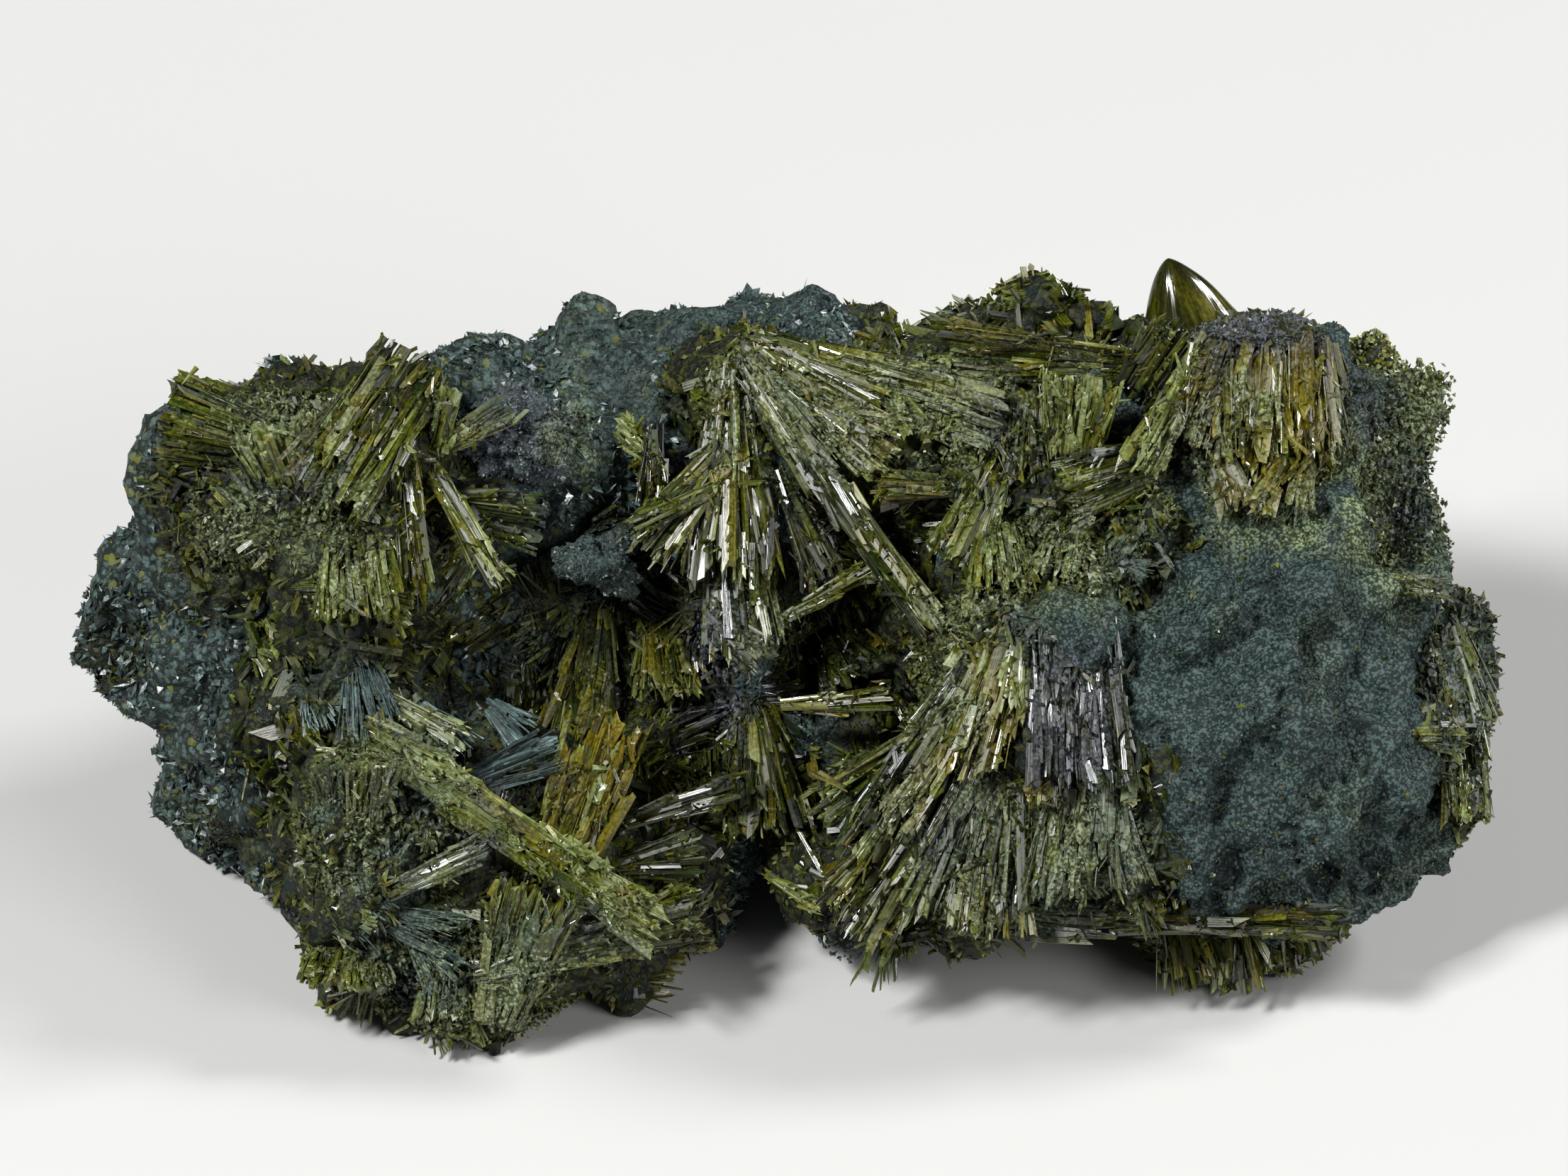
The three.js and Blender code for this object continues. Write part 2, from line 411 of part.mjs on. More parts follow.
// The fans over the hollow, the band above them, the right block and the crest grew into one another
const rightBlockZone = { at: [6.4, 7.2, 1], radii: [6, 6.8, 5.2] };
const crestZone = { at: [7.4, 21.2, -3], radii: [5, 3.6, 3.4] };
const mainSheaves = {
  zones: [
    { at: [-1.3, 19.4, -1], radii: [2.2, 2.4, 3] },
    { at: [3.6, 17.4, -0.8], radii: [5.8, 2.8, 4] },
    { at: [9, 14.4, -0.2], radii: [3.4, 4, 4] },
    rightBlockZone,
    crestZone,
  ],
  sheaves: [
    // centre fans
    { root: [-1.4, 19.9, 0.3], tip: [-1.4, 13.4, 1.7], count: 5, base: 0.9, thick: 1, fan: 22, dome: 0.2 },
    { root: [-1.4, 14.6, 0.7], tip: [-0.9, 10.6, 1.3], count: 3, base: 1.8, thick: 0.7, fan: 8, seed: 52 },
    { root: [-1.8, 17.3, 1.3], tip: [-4.3, 14.3, 1.3], count: 3, base: 0.9, thick: 0.6, fan: 14, seed: 53 },
    { root: [-0.9, 20.1, 1.1], tip: [1.5, 17, 1.5], count: 3, base: 0.8, thick: 0.6, fan: 16, seed: 55 },
    { root: [-0.6, 19.4, 1.2], tip: [4.7, 12, 2.8], count: 1, base: 0.95, thick: 0.7, seed: 56 },
    { root: [-0.6, 20.3, 0.6], tip: [3.5, 17.4, 1.7], count: 3, base: 1, thick: 0.7, fan: 16, seed: 59 },
    // right block
    { root: [6.4, 12.1, 3.4], tip: [2.4, 4.6, 2.8], count: 4, base: 1.8, thick: 0.8, fan: 14, seed: 71 },
    { root: [6.9, 12.2, 3.8], tip: [5.6, 3, 3], count: 4, base: 2.2, thick: 0.9, fan: 10, seed: 72 },
    { root: [8.4, 12.3, 4], tip: [8.5, 7.2, 5], count: 4, base: 3.2, thick: 0.8, fan: 4, seed: 73 },
    { root: [9.4, 9, 3.4], tip: [9.2, 3.8, 3.8], count: 3, base: 2.2, thick: 0.9, fan: 12, seed: 74 },
    { root: [4.8, 7.2, 2], tip: [2, 3.2, 2.2], count: 3, base: 1.6, thick: 0.7, fan: 14, seed: 75 },
    { root: [4.2, 9, 1.6], tip: [0.9, 6.7, 2.2], count: 2, base: 0.95, thick: 0.5, fan: 12, seed: 76 },
    // the band above it
    { root: [6.4, 17, 1.4], tip: [5, 14.1, 2.2], count: 3, base: 0.9, thick: 0.6, fan: 18, seed: 78 },
    { root: [8.6, 17, 1], tip: [9, 19.8, 1.8], count: 3, base: 1.5, thick: 0.7, fan: 20, seed: 79 },
    { root: [11.2, 17.2, 1.2], tip: [8.2, 16.2, 2.8], count: 3, base: 1.4, thick: 0.6, fan: 12, seed: 80 },
    { root: [3.6, 17.8, 1.4], tip: [3.4, 19.6, 3], count: 3, base: 2, thick: 1, fan: 30, seed: 82 },
    { root: [7.4, 13.4, 1.6], tip: [7.6, 14.8, 3.8], count: 3, base: 2.4, thick: 1, fan: 34, seed: 84 },
    // crest and its glossy peak
    { root: [10.2, 20, -0.8], tip: [4, 20.5, -0.4], count: 3, base: 1.2, thick: 0.6, fan: 8, seed: 111 },
    { root: [10.6, 19.2, -0.4], tip: [12, 21.3, 0.6], count: 2, base: 1.5, thick: 0.8, fan: 10, seed: 112 },
    { root: [11.2, 18.6, -3], tip: [11.6, 23.3, -1.6], count: 1, base: 1.8, thick: 2.2, seed: 121 },
    { root: [12, 19, -3], tip: [12.4, 22.6, -1.8], count: 1, base: 1.6, thick: 1.8, seed: 122 },
  ],
  stubbles: [
    { over: rightBlockZone, pitch: 3.8, reach: 0.6, wide: 0.9, thick: 0.7, seed: 90 },
    { over: crestZone, pitch: 2.6, reach: 0.7, wide: 0.9, thick: 0.7, seed: 116 },
    { over: crestZone, pitch: 2.6, reach: 0.7, wide: 0.9, thick: 0.7, rear: true, seed: 117 },
  ],
};

const upperBlock = {
  zones: [{ at: [14.2, 18.2, -0.6], radii: [2.8, 3.8, 4] }],
  sheaves: [
    { root: [14.6, 21, 0.8], tip: [14.7, 16.2, 3], count: 4, base: 3.6, thick: 1.1, fan: 4, seed: 101 },
    { root: [13.2, 20.9, 1.2], tip: [11.6, 17.6, 2.8], count: 3, base: 1.4, thick: 0.7, fan: 8, seed: 102 },
    { root: [15.8, 20.6, 0], tip: [16.2, 16.6, 1.8], count: 2, base: 1.4, thick: 0.8, fan: 8, seed: 103 },
  ],
};

const backPlateZone = { at: [18.6, 17.4, -2.8], radii: [2.8, 4.2, 3] };
const backPlate = {
  zones: [backPlateZone],
  stubbles: [{ over: backPlateZone, pitch: 1.9, reach: 0.5, wide: 0.8, thick: 0.6, seed: 133 }],
};

const rightRimZone = { at: [20.6, 9.4, -1.6], radii: [2, 4.2, 3] };
const rightRim = {
  zones: [rightRimZone],
  sheaves: [
    { root: [19.8, 12, -0.8], tip: [20.6, 9, 0.4], count: 3, base: 1.2, thick: 0.7, fan: 10, seed: 141 },
    { root: [20.2, 9.4, -0.4], tip: [20.4, 6.4, 0.6], count: 3, base: 1.1, thick: 0.7, fan: 12, seed: 142 },
  ],
};

const foot = {
  lumps: [{ at: [13.2, 5.1, -2.9], radii: [3.4, 2.9, 3], detail: 1 }],
  sheaves: [
    { root: [12.4, 3.6, -2.2], tip: [11.6, 1.6, -1], count: 3, base: 1.8, thick: 0.8, fan: 30, seed: 151 },
    { root: [14.8, 3.8, -2.2], tip: [15.6, 2.1, -1.2], count: 3, base: 1.8, thick: 0.8, fan: 30, seed: 152 },
  ],
};

// The dark crystals that line the hollow
const hollowCrust = {
  zones: [{ at: [-3.4, 11.4, -3.2], radii: [6.6, 5.4, 2.4] }],
  sheaves: [
    { root: [-5.4, 16.6, -2.8], tip: [-3.8, 17.4, -0.4], count: 3, base: 1, thick: 0.5, fan: 20 },
    { root: [-6.6, 14.4, -2.4], tip: [-4.4, 15.4, -0.4], count: 2, base: 1, thick: 0.5, fan: 12 },
    { root: [-7.4, 13.4, -2.6], tip: [-10, 12.4, -0.2], count: 3, base: 0.9, thick: 0.5, fan: 22, seed: 164 },
    { root: [-5.4, 12.6, -2.6], tip: [-6, 9, -0.6], count: 3, base: 0.9, thick: 0.5, fan: 22, seed: 166 },
    { root: [-3.6, 12.8, -3], tip: [-3.4, 10, -0.6], count: 3, base: 0.9, thick: 0.5, fan: 22, seed: 167 },
    { root: [1.2, 12.4, -2.8], tip: [2.4, 10.6, 0], count: 3, base: 0.9, thick: 0.5, fan: 26, seed: 168 },
    { root: [-0.8, 10.2, -1.4], tip: [-0.3, 6, 0.6], count: 4, base: 0.9, thick: 0.6, fan: 26, seed: 169 },
  ],
};

// Grey-green host rock: all of the mass that no other piece takes
const rock = { zones: [{ at: [0, 11, -6], radii: [60, 60, 60] }] };

// The order sets which piece is cut where two of them meet: each keeps the seam to all those before it.
const pieces = [
  ["chlorite_clump_upper", upperClump, DUST_GREEN],
  ["chlorite_clump_centre", centreClump, DUST_GREEN],
  ["actinolite_tuft", fibreTuft, FIBRE_TEAL],
  ["epidote_left_sheaves", leftSheaves, EPIDOTE_GREEN],
  ["epidote_main_sheaves", mainSheaves, EPIDOTE_GREEN],
  ["epidote_upper_block", upperBlock, EPIDOTE_GREEN],
  ["epidote_back_plate", backPlate, EPIDOTE_GREEN],
  ["epidote_right_rim", rightRim, EPIDOTE_GREEN],
  ["epidote_foot", foot, EPIDOTE_GREEN],
  ["hollow_crystals", hollowCrust, EPIDOTE_GREEN],
  ["matrix_rock", rock, ROCK_GREY],
];

const specimen = new THREE.Group();
specimen.name = "epidote_cluster";
let taken = ground;
for (const [name, form, material] of pieces) {
  const solid = largestBody(joined(form, 0).subtract(taken));
  taken = taken.add(joined(form, GAP));
  const mesh = new THREE.Mesh(geometryOf(solid), material);
  mesh.name = name;
  specimen.add(mesh);
}

const centre = new THREE.Box3().setFromObject(specimen).getCenter(new THREE.Vector3());
for (const mesh of specimen.children) {
  mesh.geometry.translate(-centre.x, -centre.y, 0);
}

export default specimen;
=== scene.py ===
"""Looks of a hand specimen of epidote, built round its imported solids.

Olive-green crystals stand in fans and sheaves on grey-green chlorite rock. The rock is the same surface as
the solids', sampled finer and roughened, and the crystals are thousands of closed six-sided prisms laid along
the same sheaves. Places are in millimetres: a picture place is across, up and towards the viewer, on a plane
tilted back by LOOK_DOWN, and the specimen's own frame has +Z up, +X to the right and -Y towards the viewer.
"""

import logging
import math
from dataclasses import dataclass, field
from enum import Enum
from functools import cache

import bpy
import numpy as np
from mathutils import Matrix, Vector


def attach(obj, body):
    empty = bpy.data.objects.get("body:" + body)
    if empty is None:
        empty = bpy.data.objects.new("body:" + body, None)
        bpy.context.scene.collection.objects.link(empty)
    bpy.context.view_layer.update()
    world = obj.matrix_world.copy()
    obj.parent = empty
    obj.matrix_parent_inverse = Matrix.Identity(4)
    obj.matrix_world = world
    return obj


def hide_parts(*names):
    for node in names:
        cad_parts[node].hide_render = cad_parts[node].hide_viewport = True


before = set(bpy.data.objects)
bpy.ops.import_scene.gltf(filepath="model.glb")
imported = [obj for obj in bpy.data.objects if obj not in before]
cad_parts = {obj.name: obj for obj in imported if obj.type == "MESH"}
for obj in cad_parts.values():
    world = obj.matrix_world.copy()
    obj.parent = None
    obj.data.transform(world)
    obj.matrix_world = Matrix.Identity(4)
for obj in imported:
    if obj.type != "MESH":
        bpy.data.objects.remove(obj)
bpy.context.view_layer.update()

Array = np.ndarray
Random = np.random.Generator
Node = bpy.types.Node
Socket = bpy.types.NodeSocket
Triple = tuple[float, float, float]
Colour = Triple

log = logging.getLogger("epidote")

MM = 0.001
LOOK_DOWN = math.radians(38)
SIN, COS = math.sin(LOOK_DOWN), math.cos(LOOK_DOWN)
CENTRE = (0.1746, 9.4741)  # what the solids are moved back by, across and behind
VIEWER = np.array([0.0, -COS, SIN])
FLOOR_GAP = 0.1  # what crystals keep clear of the floor
CRYSTALS_BEGIN = 0.02  # how deep in a zone a place has to lie to be no bare rock any more
FACES_VIEWER = 0.6  # the least cosine between the viewer's way and that of ground where fans may stand

# The edges of the mass as the viewer sees them, left to right: across, up, towards
UPPER_EDGE = np.array([
    [-21, 11.2, -3], [-20.4, 12.5, -3], [-20.2, 14, -2.5], [-19.3, 15.7, -1.5], [-18.5, 16.7, -1],
    [-18.3, 18.8, 0], [-16.1, 19.3, 0.5], [-13.8, 19.7, 0.5], [-11, 20, 0.5], [-10.3, 19.8, -1.5],
    [-9.9, 20.4, -3], [-7.1, 20.9, -3.5], [-4.1, 21.1, -3.5], [-2, 21.7, -3.5], [-0.8, 21.9, -3.5],
    [1.5, 21.6, -3.5], [3, 21.3, -3.5], [3.6, 21, -3], [4.7, 21.9, -2.5], [6.6, 22.6, -2.5],
    [8.7, 22.3, -2.5], [10.3, 21.7, -2], [12.4, 21.2, -1], [14.1, 21.5, 0], [16.1, 21.2, 0],
    [17.3, 21, -2.5], [18.1, 20.3, -2.5], [19.1, 19.3, -2.5], [19.5, 17.3, -2.2], [19.7, 15.5, -2],
    [19.9, 13.9, -2], [20.2, 12.9, -1.5], [21.1, 11.5, -1],
])
LOWER_EDGE = np.array([
    [-21, 11.2, -3], [-20.3, 10.6, -3.5], [-18.9, 8.9, -5], [-17.8, 6.9, -6.5], [-17.1, 5.7, -6.8],
    [-15.3, 5.6, -5], [-14.4, 3.9, -2], [-13.8, 2.3, -1], [-12.6, 1.1, -0.5], [-11, 0.6, -0.3],
    [-8.9, 0, 0.2], [-7.3, 1, -0.2], [-5.9, 1.7, -0.5], [-4.3, 1.7, -0.8], [-3.1, 2.5, -1],
    [-1.8, 3.3, -1.5], [-1.2, 4.6, -3], [-0.7, 5.7, -4.5], [-0.2, 5.1, -2], [0.4, 4.2, 0.3],
    [1.3, 3.3, 1], [2.9, 3.1, 1.2], [5, 2.8, 1.2], [6.2, 3.2, 1.4], [8, 3.8, 1.5],
    [11.3, 3.5, 1.5], [14.1, 3.2, 1.5], [17.2, 3.4, 1], [18.5, 4.1, 0], [19.9, 4.9, -0.5],
    [20.4, 6.5, -0.8], [20.6, 8, -1], [20.8, 10, -1], [21.1, 11.5, -1],
])
# How far the face stands towards the viewer at chosen places, and how far the back stands behind
FACE = np.array([
    [-17.4, 17.4, 0.8], [-15.4, 18.4, 1.6], [-13, 18.6, 3.4], [-11.2, 18, 3], [-14.4, 16, 2.8],
    [-12.3, 15.2, 3.5], [-11.3, 13.4, 2.8], [-13.6, 12.4, 2.4], [-17.2, 13.4, 0], [-19.4, 12, -2],
    [-17.4, 9.2, -1.5], [-15.6, 8.4, 0.8], [-12.6, 7.8, 2.8], [-12.4, 4.4, 3], [-9.6, 6.6, 2.4],
    [-9, 3.4, 2.9], [-11, 1.8, 2], [-6.4, 3.8, 2], [-4, 3.6, 0.9], [-2.8, 5.4, 0],
    [-8.4, 13.6, -1.6], [-8.8, 11, -1.4], [-6, 10.6, -2.4], [-4, 12.6, -2.8], [-5.4, 14.6, -2],
    [-2.8, 10.4, -2.2], [-3.8, 8, -1.4], [-1.4, 7.4, -1], [1, 11.6, -2.4], [2.8, 10, -1.2],
    [0.9, 8.2, -1], [-7.2, 8.4, 0], [2.4, 15, -1.4], [-8, 18.2, 1], [-6, 16.8, 0.6],
    [-6, 20, -2.4], [-2.6, 20.8, -2], [-1.4, 19.4, 1.5], [-3.6, 17, -1], [-1.3, 15.6, 1],
    [-1.1, 12.6, 0.6], [0.8, 17.4, 0.8], [2.8, 18.8, 1.5], [4.6, 17.8, 1.6], [6.2, 14.4, 0.8],
    [8.2, 15.4, 1.6], [7.6, 17.8, 0.8], [6.3, 12, 4], [8.5, 12.2, 4.6], [5, 9, 2.9],
    [8.4, 9, 4.2], [4, 6, 2.1], [6.6, 5.4, 2.9], [9.6, 5, 3.6], [2.4, 4.4, 1.6],
    [5, 20.8, -1.4], [7.4, 21, -1.6], [9.8, 20, -1], [10.4, 18, -0.4], [14.4, 20.2, 1.2],
    [14.4, 17.8, 2.6], [12.2, 18.2, 1.5], [16.2, 18, 0.8], [12.4, 15.4, 1.6], [15.6, 15.6, 2.2],
    [17.8, 18.4, -1.9], [18.8, 16.4, -1.6], [11, 13.6, 2.4], [12, 12.4, 4.2], [15, 13.2, 3.4],
    [12, 9, 5], [15, 9.6, 5], [15, 6, 4.2], [12, 5.4, 4.2], [17.5, 7.6, 3.2],
    [17.6, 11.4, 2.2], [17.6, 4.8, 1.4], [19.4, 11.6, 0.2], [20, 8, 0.2], [19.2, 6, 0.8],
])
REAR = np.array([
    [-19, 12, -6.5], [-16.5, 15, -7.5], [-15.5, 10, -11], [-12, 17, -9], [-11, 12, -12.6], [-7.5, 16, -12.4],
    [-6, 19, -8.6], [-3, 13, -11.6], [-1.5, 17, -11.4], [1.5, 19.5, -9], [2, 14, -13.4], [5.5, 17, -12.8],
    [7, 20, -8.4], [8.5, 13, -12.2], [11.5, 17.5, -9.6], [12.5, 12, -12.8], [15, 15, -10.4], [17, 11, -9.6],
    [17.5, 17, -6.4], [19.5, 13, -5.6], [0, 8, -12], [-12, 6, -9], [12, 7, -10],
])


def from_picture(places: Array) -> Array:
    """Turn picture places into the specimen's frame: a turn about X by LOOK_DOWN and a shift.

    Args:
        places: N x 3, across, up and towards the viewer.

    Returns:
        N x 3 points.
    """
    u, v, w = np.asarray(places, float).reshape(-1, 3).T
    return np.stack([u - CENTRE[0], v * SIN - w * COS - CENTRE[1], v * COS + w * SIN], 1)


def to_picture(points: Array) -> Array:
    """Turn points of the specimen's frame into picture places, the reverse of from_picture.

    Args:
        points: N x 3 points.

    Returns:
        N x 3, across, up and towards the viewer.
    """
    x, y, z = np.asarray(points, float).reshape(-1, 3).T
    y = y + CENTRE[1]
    return np.stack([x + CENTRE[0], y * SIN + z * COS, z * SIN - y * COS], 1)


def unit(vectors: Array) -> Array:
    """Scale each row to length one."""
    return vectors / np.maximum(np.linalg.norm(vectors, axis=-1, keepdims=True), 1e-12)


def smooth(low: float, high: float, value: Array) -> Array:
    """A smooth step from 0 at low to 1 at high."""
    t = np.clip((value - low) / (high - low), 0, 1)
    return t * t * (3 - 2 * t)


# Large odd numbers that the corners of the noise's lattice are hashed with, and the bits that are kept
CORNER_HASH = (374761393, 668265263, 2147483647)
SEED_HASH, MIX_HASH, LAST_HASH = 974634777, 1274126177, 2246822519
WORD, HALF_WORD = 0xFFFFFFFF, 0xFFFF


def lattice_noise(points: Array, pitch: float, seed: int) -> Array:
    """Soft noise: a number from -1 to 1 hashed at each corner of a lattice, blended smoothly between them.

    Args:
        points: N x 3, in millimetres.
        pitch: the lattice's cell, in millimetres.
        seed: which of many such fields.

    Returns:
        N values, most of them within -0.7 to 0.7.
    """
    grid = points / pitch + 500.0
    cell = np.floor(grid).astype(np.int64)
    t = grid - cell
    t = t * t * (3 - 2 * t)
    total = np.zeros(len(points))
    for corner in range(8):
        step = np.array([corner & 1, corner >> 1 & 1, corner >> 2])
        h = ((cell + step) * CORNER_HASH).sum(1) + seed * SEED_HASH & WORD
        h = (h ^ (h >> 13)) * MIX_HASH & WORD
        h = (h ^ (h >> 16)) * LAST_HASH & WORD
        value = ((h ^ (h >> 15)) & HALF_WORD) / (HALF_WORD / 2) - 1
        total += value * np.where(step, t, 1 - t).prod(1)
    return total


def fractal(points: Array, pitch: float, seed: int, octaves: int) -> Array:
    """Noise summed over octaves, each of half the pitch and 0.55 of the height of the one before."""
    return sum(0.55**n * lattice_noise(points, pitch / 2**n, seed + n) for n in range(octaves))


def mottle(points: Array) -> Array:
    """The soft unevenness of the crystals' shade."""
    return 0.14 * lattice_noise(points, 0.7, 90)


def varied(rng: Random, mean: float | Array, spread: float, shape: int | tuple[int, ...]) -> Array:
    """Sizes about a mean: the mean times e to the power of a normal draw of that spread."""
    return mean * np.exp(rng.normal(0, spread, shape))


def share_of(rng: Random, mean: float, spread: float, shape: int | tuple[int, ...]) -> Array:
    """Shares about a mean, kept from 0 to 1."""
    return np.clip(rng.normal(mean, spread, shape), 0, 1)


def quads(a: Array, b: Array, c: Array, d: Array) -> Array:
    """Two triangles for each face of four corners: a-b-c of every face, then a-c-d of every face."""
    return np.concatenate([np.stack([a, b, c], -1).reshape(-1, 3), np.stack([a, c, d], -1).reshape(-1, 3)])


def spokes(middle: int, first: Array, second: Array) -> Array:
    """Triangles from a middle point to neighbours on a ring."""
    return np.stack([np.full_like(first, middle), first, second], 1)


@dataclass(frozen=True)
class Lump:
    """An ellipsoid about a picture place, with its radii across, up and towards."""

    at: Triple
    radii: Triple

    def depth(self, places: Array) -> Array:
        """How far out each picture place lies: 0 at the middle, 1 on the surface."""
        return np.linalg.norm((places - np.array(self.at)) / np.array(self.radii), axis=1)


class Zone(Enum):
    """The parts of the mass by what grows on it."""

    LEFT = (Lump((-13.6, 16.2, 1), (5.2, 4.6, 4.6)), Lump((-12.6, 10.4, 0.8), (3.8, 4.4, 4.4)),
            Lump((-8.6, 4.2, 0), (7.6, 6.4, 5.2)))
    MAIN = (Lump((-1.3, 19.4, -1), (2.2, 2.4, 3)), Lump((3.6, 17.4, -0.8), (5.8, 2.8, 4)),
            Lump((9, 14.4, -0.2), (3.4, 4, 4)), Lump((6.4, 7.2, 1), (6, 6.8, 5.2)),
            Lump((7.4, 21.2, -3), (5, 3.6, 3.4)), Lump((1.2, 5.8, 0.5), (2.6, 3, 4)))
    UPPER = (Lump((14.2, 18.2, -0.6), (2.8, 3.8, 4)),)
    PLATE = (Lump((18.6, 17.4, -2.8), (2.8, 4.2, 3)),)
    RIM = (Lump((20.6, 9.4, -1.6), (2, 4.2, 3)),)
    HOLLOW = (Lump((-3.4, 11.4, -3.2), (6.6, 5.4, 2.4)), Lump((2.2, 13.2, -1), (2.8, 2.6, 3)))

    def covers(self, places: Array) -> Array:
        """How deep in this zone each picture place lies: above 0 inside it, below 0 outside."""
        return 1 - np.min([lump.depth(places) for lump in self.value], axis=0)

    @classmethod
    def any_covers(cls, places: Array) -> Array:
        """How deep each picture place lies in the zone that covers it most."""
        return np.max([zone.covers(places) for zone in cls], axis=0)


@dataclass(frozen=True)
class Mass:
    """The specimen's whole mass as a surface of two parameters: across, and a share from the lower edge to
    the upper.

    The section at each place across swells from its two edges like a flattened ellipse to the depth of the
    face or the rear there, which is the mean of the chosen places weighted by nearness, and crossed sines
    roughen it. The powers of the face and of the rear say how squarely the section swells and how late it
    closes at the ends.
    """

    left: float = -21.0
    right: float = 21.1
    softness: float = 0.5
    coarse: float = 0.8
    fine: float = 0.6
    swell_length: float = 6.2
    knob_length: float = 2.9
    underside: float = 0.05
    underside_relief: float = 0.6
    face_powers: tuple[float, float] = (3.5, 12)
    rear_powers: tuple[float, float] = (2, 5)
    first_centre: tuple[float, float] = (0.14, 9.02)
    height: float = 8.0
    radii: Triple = (20.0, 9.0, 8.0)

    def relief(self, points: Array) -> Array:
        """Crossed sine waves at two scales: products of a sine along X and one along Y, plus one along Z."""
        a, b = 2 * math.pi / self.swell_length, 2 * math.pi / self.knob_length
        x, y, z = points.T
        x, y = x + self.shift[0], y + self.shift[1]
        swell = np.sin(a * x + 0.7 * np.sin(a * z)) * np.sin(a * y + 1.1) + np.sin(a * z + 0.4)
        knob = np.sin(b * x + 1.3) * np.sin(b * y + np.sin(b * z)) + np.sin(b * (z - x) + 2)
        return (self.coarse * swell + self.fine * knob) / 2

    @property
    def shift(self) -> tuple[float, float]:
        """How far the solids were moved to centre them, after their relief was worked out."""
        return CENTRE[0] - self.first_centre[0], CENTRE[1] - self.first_centre[1]

    def outward(self, points: Array) -> Array:
        """The way the surface faces, as on an ellipsoid of these radii about a point at this height."""
        middle = np.array([-self.shift[0], -self.shift[1], self.height])
        return unit((points - middle) / np.array(self.radii))

    def surface(self, across: Array, share: Array, rear: Array) -> Array:
        """Points of the mass.

        Args:
            across: N places from left to right.
            share: N shares from -1 at the lower edge to 1 at the upper.
            rear: N flags, true on the back.

        Returns:
            N x 3 points.
        """
        end = np.abs(across / self.left)
        edges = (LOWER_EDGE, UPPER_EDGE)
        low, high = ([np.interp(across, edge[:, 0], edge[:, k]) for k in (1, 2)] for edge in edges)
        t = (share + 1) / 2
        up = low[0] + (high[0] - low[0]) * t
        edge = low[1] + (high[1] - low[1]) * t
        depth = np.where(rear, self.depth_from(REAR, across, up), self.depth_from(FACE, across, up))
        square, late = (np.where(rear, *powers) for powers in zip(self.rear_powers, self.face_powers))
        swell = np.sqrt(np.clip(1 - np.abs(share) ** square, 0, 1)) * np.sqrt(np.clip(1 - end**late, 0, 1))
        points = from_picture(np.stack([across, up, edge + (depth - edge) * swell], 1))
        points += self.outward(points) * self.relief(points)[:, None]
        flat = points * [1, 1, 0]
        points[:, 2] = np.maximum(points[:, 2], self.underside + self.underside_relief * self.relief(flat))
        return points

    def depth_from(self, places: Array, across: Array, up: Array) -> Array:
        """The mean depth of the chosen places, each weighted by the inverse square of its squared distance
        plus softness."""
        total, weights = np.zeros(len(across)), np.zeros(len(across))
        for u, v, w in places:
            weight = ((across - u) ** 2 + (up - v) ** 2 + self.softness) ** -2
            total += w * weight
            weights += weight
        return total / weights


MASS = Mass()


@dataclass
class Ground:
    """Places scattered evenly over the surface of the mass, with the way it faces there."""

    points: Array
    normals: Array
    places: Array

    @classmethod
    def sample(cls, count: int, seed: int, columns: int = 420, rows: int = 200) -> "Ground":
        """Pick places at random, as many to a square millimetre everywhere.

        Args:
            count: how many places.
            seed: the seed of the draw.
            columns: how finely the surface is sampled across.
            rows: how finely it is sampled from edge to edge.

        Returns:
            The places.
        """
        rng = np.random.default_rng(seed)
        across = np.linspace(MASS.left + 0.02, MASS.right - 0.02, columns)
        share = -np.cos(np.linspace(0.01, math.pi - 0.01, rows))
        u, s = np.meshgrid(across, share, indexing="ij")
        face, rear = (MASS.surface(u.ravel(), s.ravel(), np.full(u.size, back)).reshape(columns, rows, 3)
                      for back in (False, True))
        grids = (face, rear[:, ::-1])
        corners = [np.concatenate([g[a : a - 1 or None, b : b - 1 or None].reshape(-1, 3) for g in grids])
                   for a, b in ((0, 0), (1, 0), (1, 1), (0, 1))]
        facing = np.cross(corners[2] - corners[0], corners[3] - corners[1])
        area = np.linalg.norm(facing, axis=1) / 2
        pick = rng.choice(len(area), size=count, p=area / area.sum())
        a, b = rng.random((2, count, 1))
        p00, p10, p11, p01 = (c[pick] for c in corners)
        points = p00 * (1 - a) * (1 - b) + p10 * a * (1 - b) + p11 * a * b + p01 * (1 - a) * b
        return cls(points, unit(facing[pick]), to_picture(points))

    def where(self, mask: Array) -> "Ground":
        """Only the places that the mask keeps."""
        return Ground(self.points[mask], self.normals[mask], self.places[mask])

    def towards_viewer(self) -> "Ground":
        """Only the places that face the viewer."""
        return self.where(self.normals @ VIEWER > FACES_VIEWER)

    def __len__(self) -> int:
        """How many places there are."""
        return len(self.points)


@dataclass(frozen=True)
class Patch:
    """A coated patch: a soft-edged ellipse of the picture plane, turned towards the viewer."""

    across: float
    up: float
    half_width: float
    half_height: float
    strength: float

    def cover(self, places: Array) -> Array:
        """How much of the coat lies at each picture place."""
        offset = places[:, :2] - np.array([self.across, self.up])
        d = np.linalg.norm(offset / np.array([self.half_width, self.half_height]), axis=1)
        return self.strength * (1 - smooth(0.55, 1.25, d))


def patches(*rows: tuple[float, ...]) -> tuple[Patch, ...]:
    """A patch for each row: across, up, half its width and height, and its strength."""
    return tuple(Patch(*row) for row in rows)


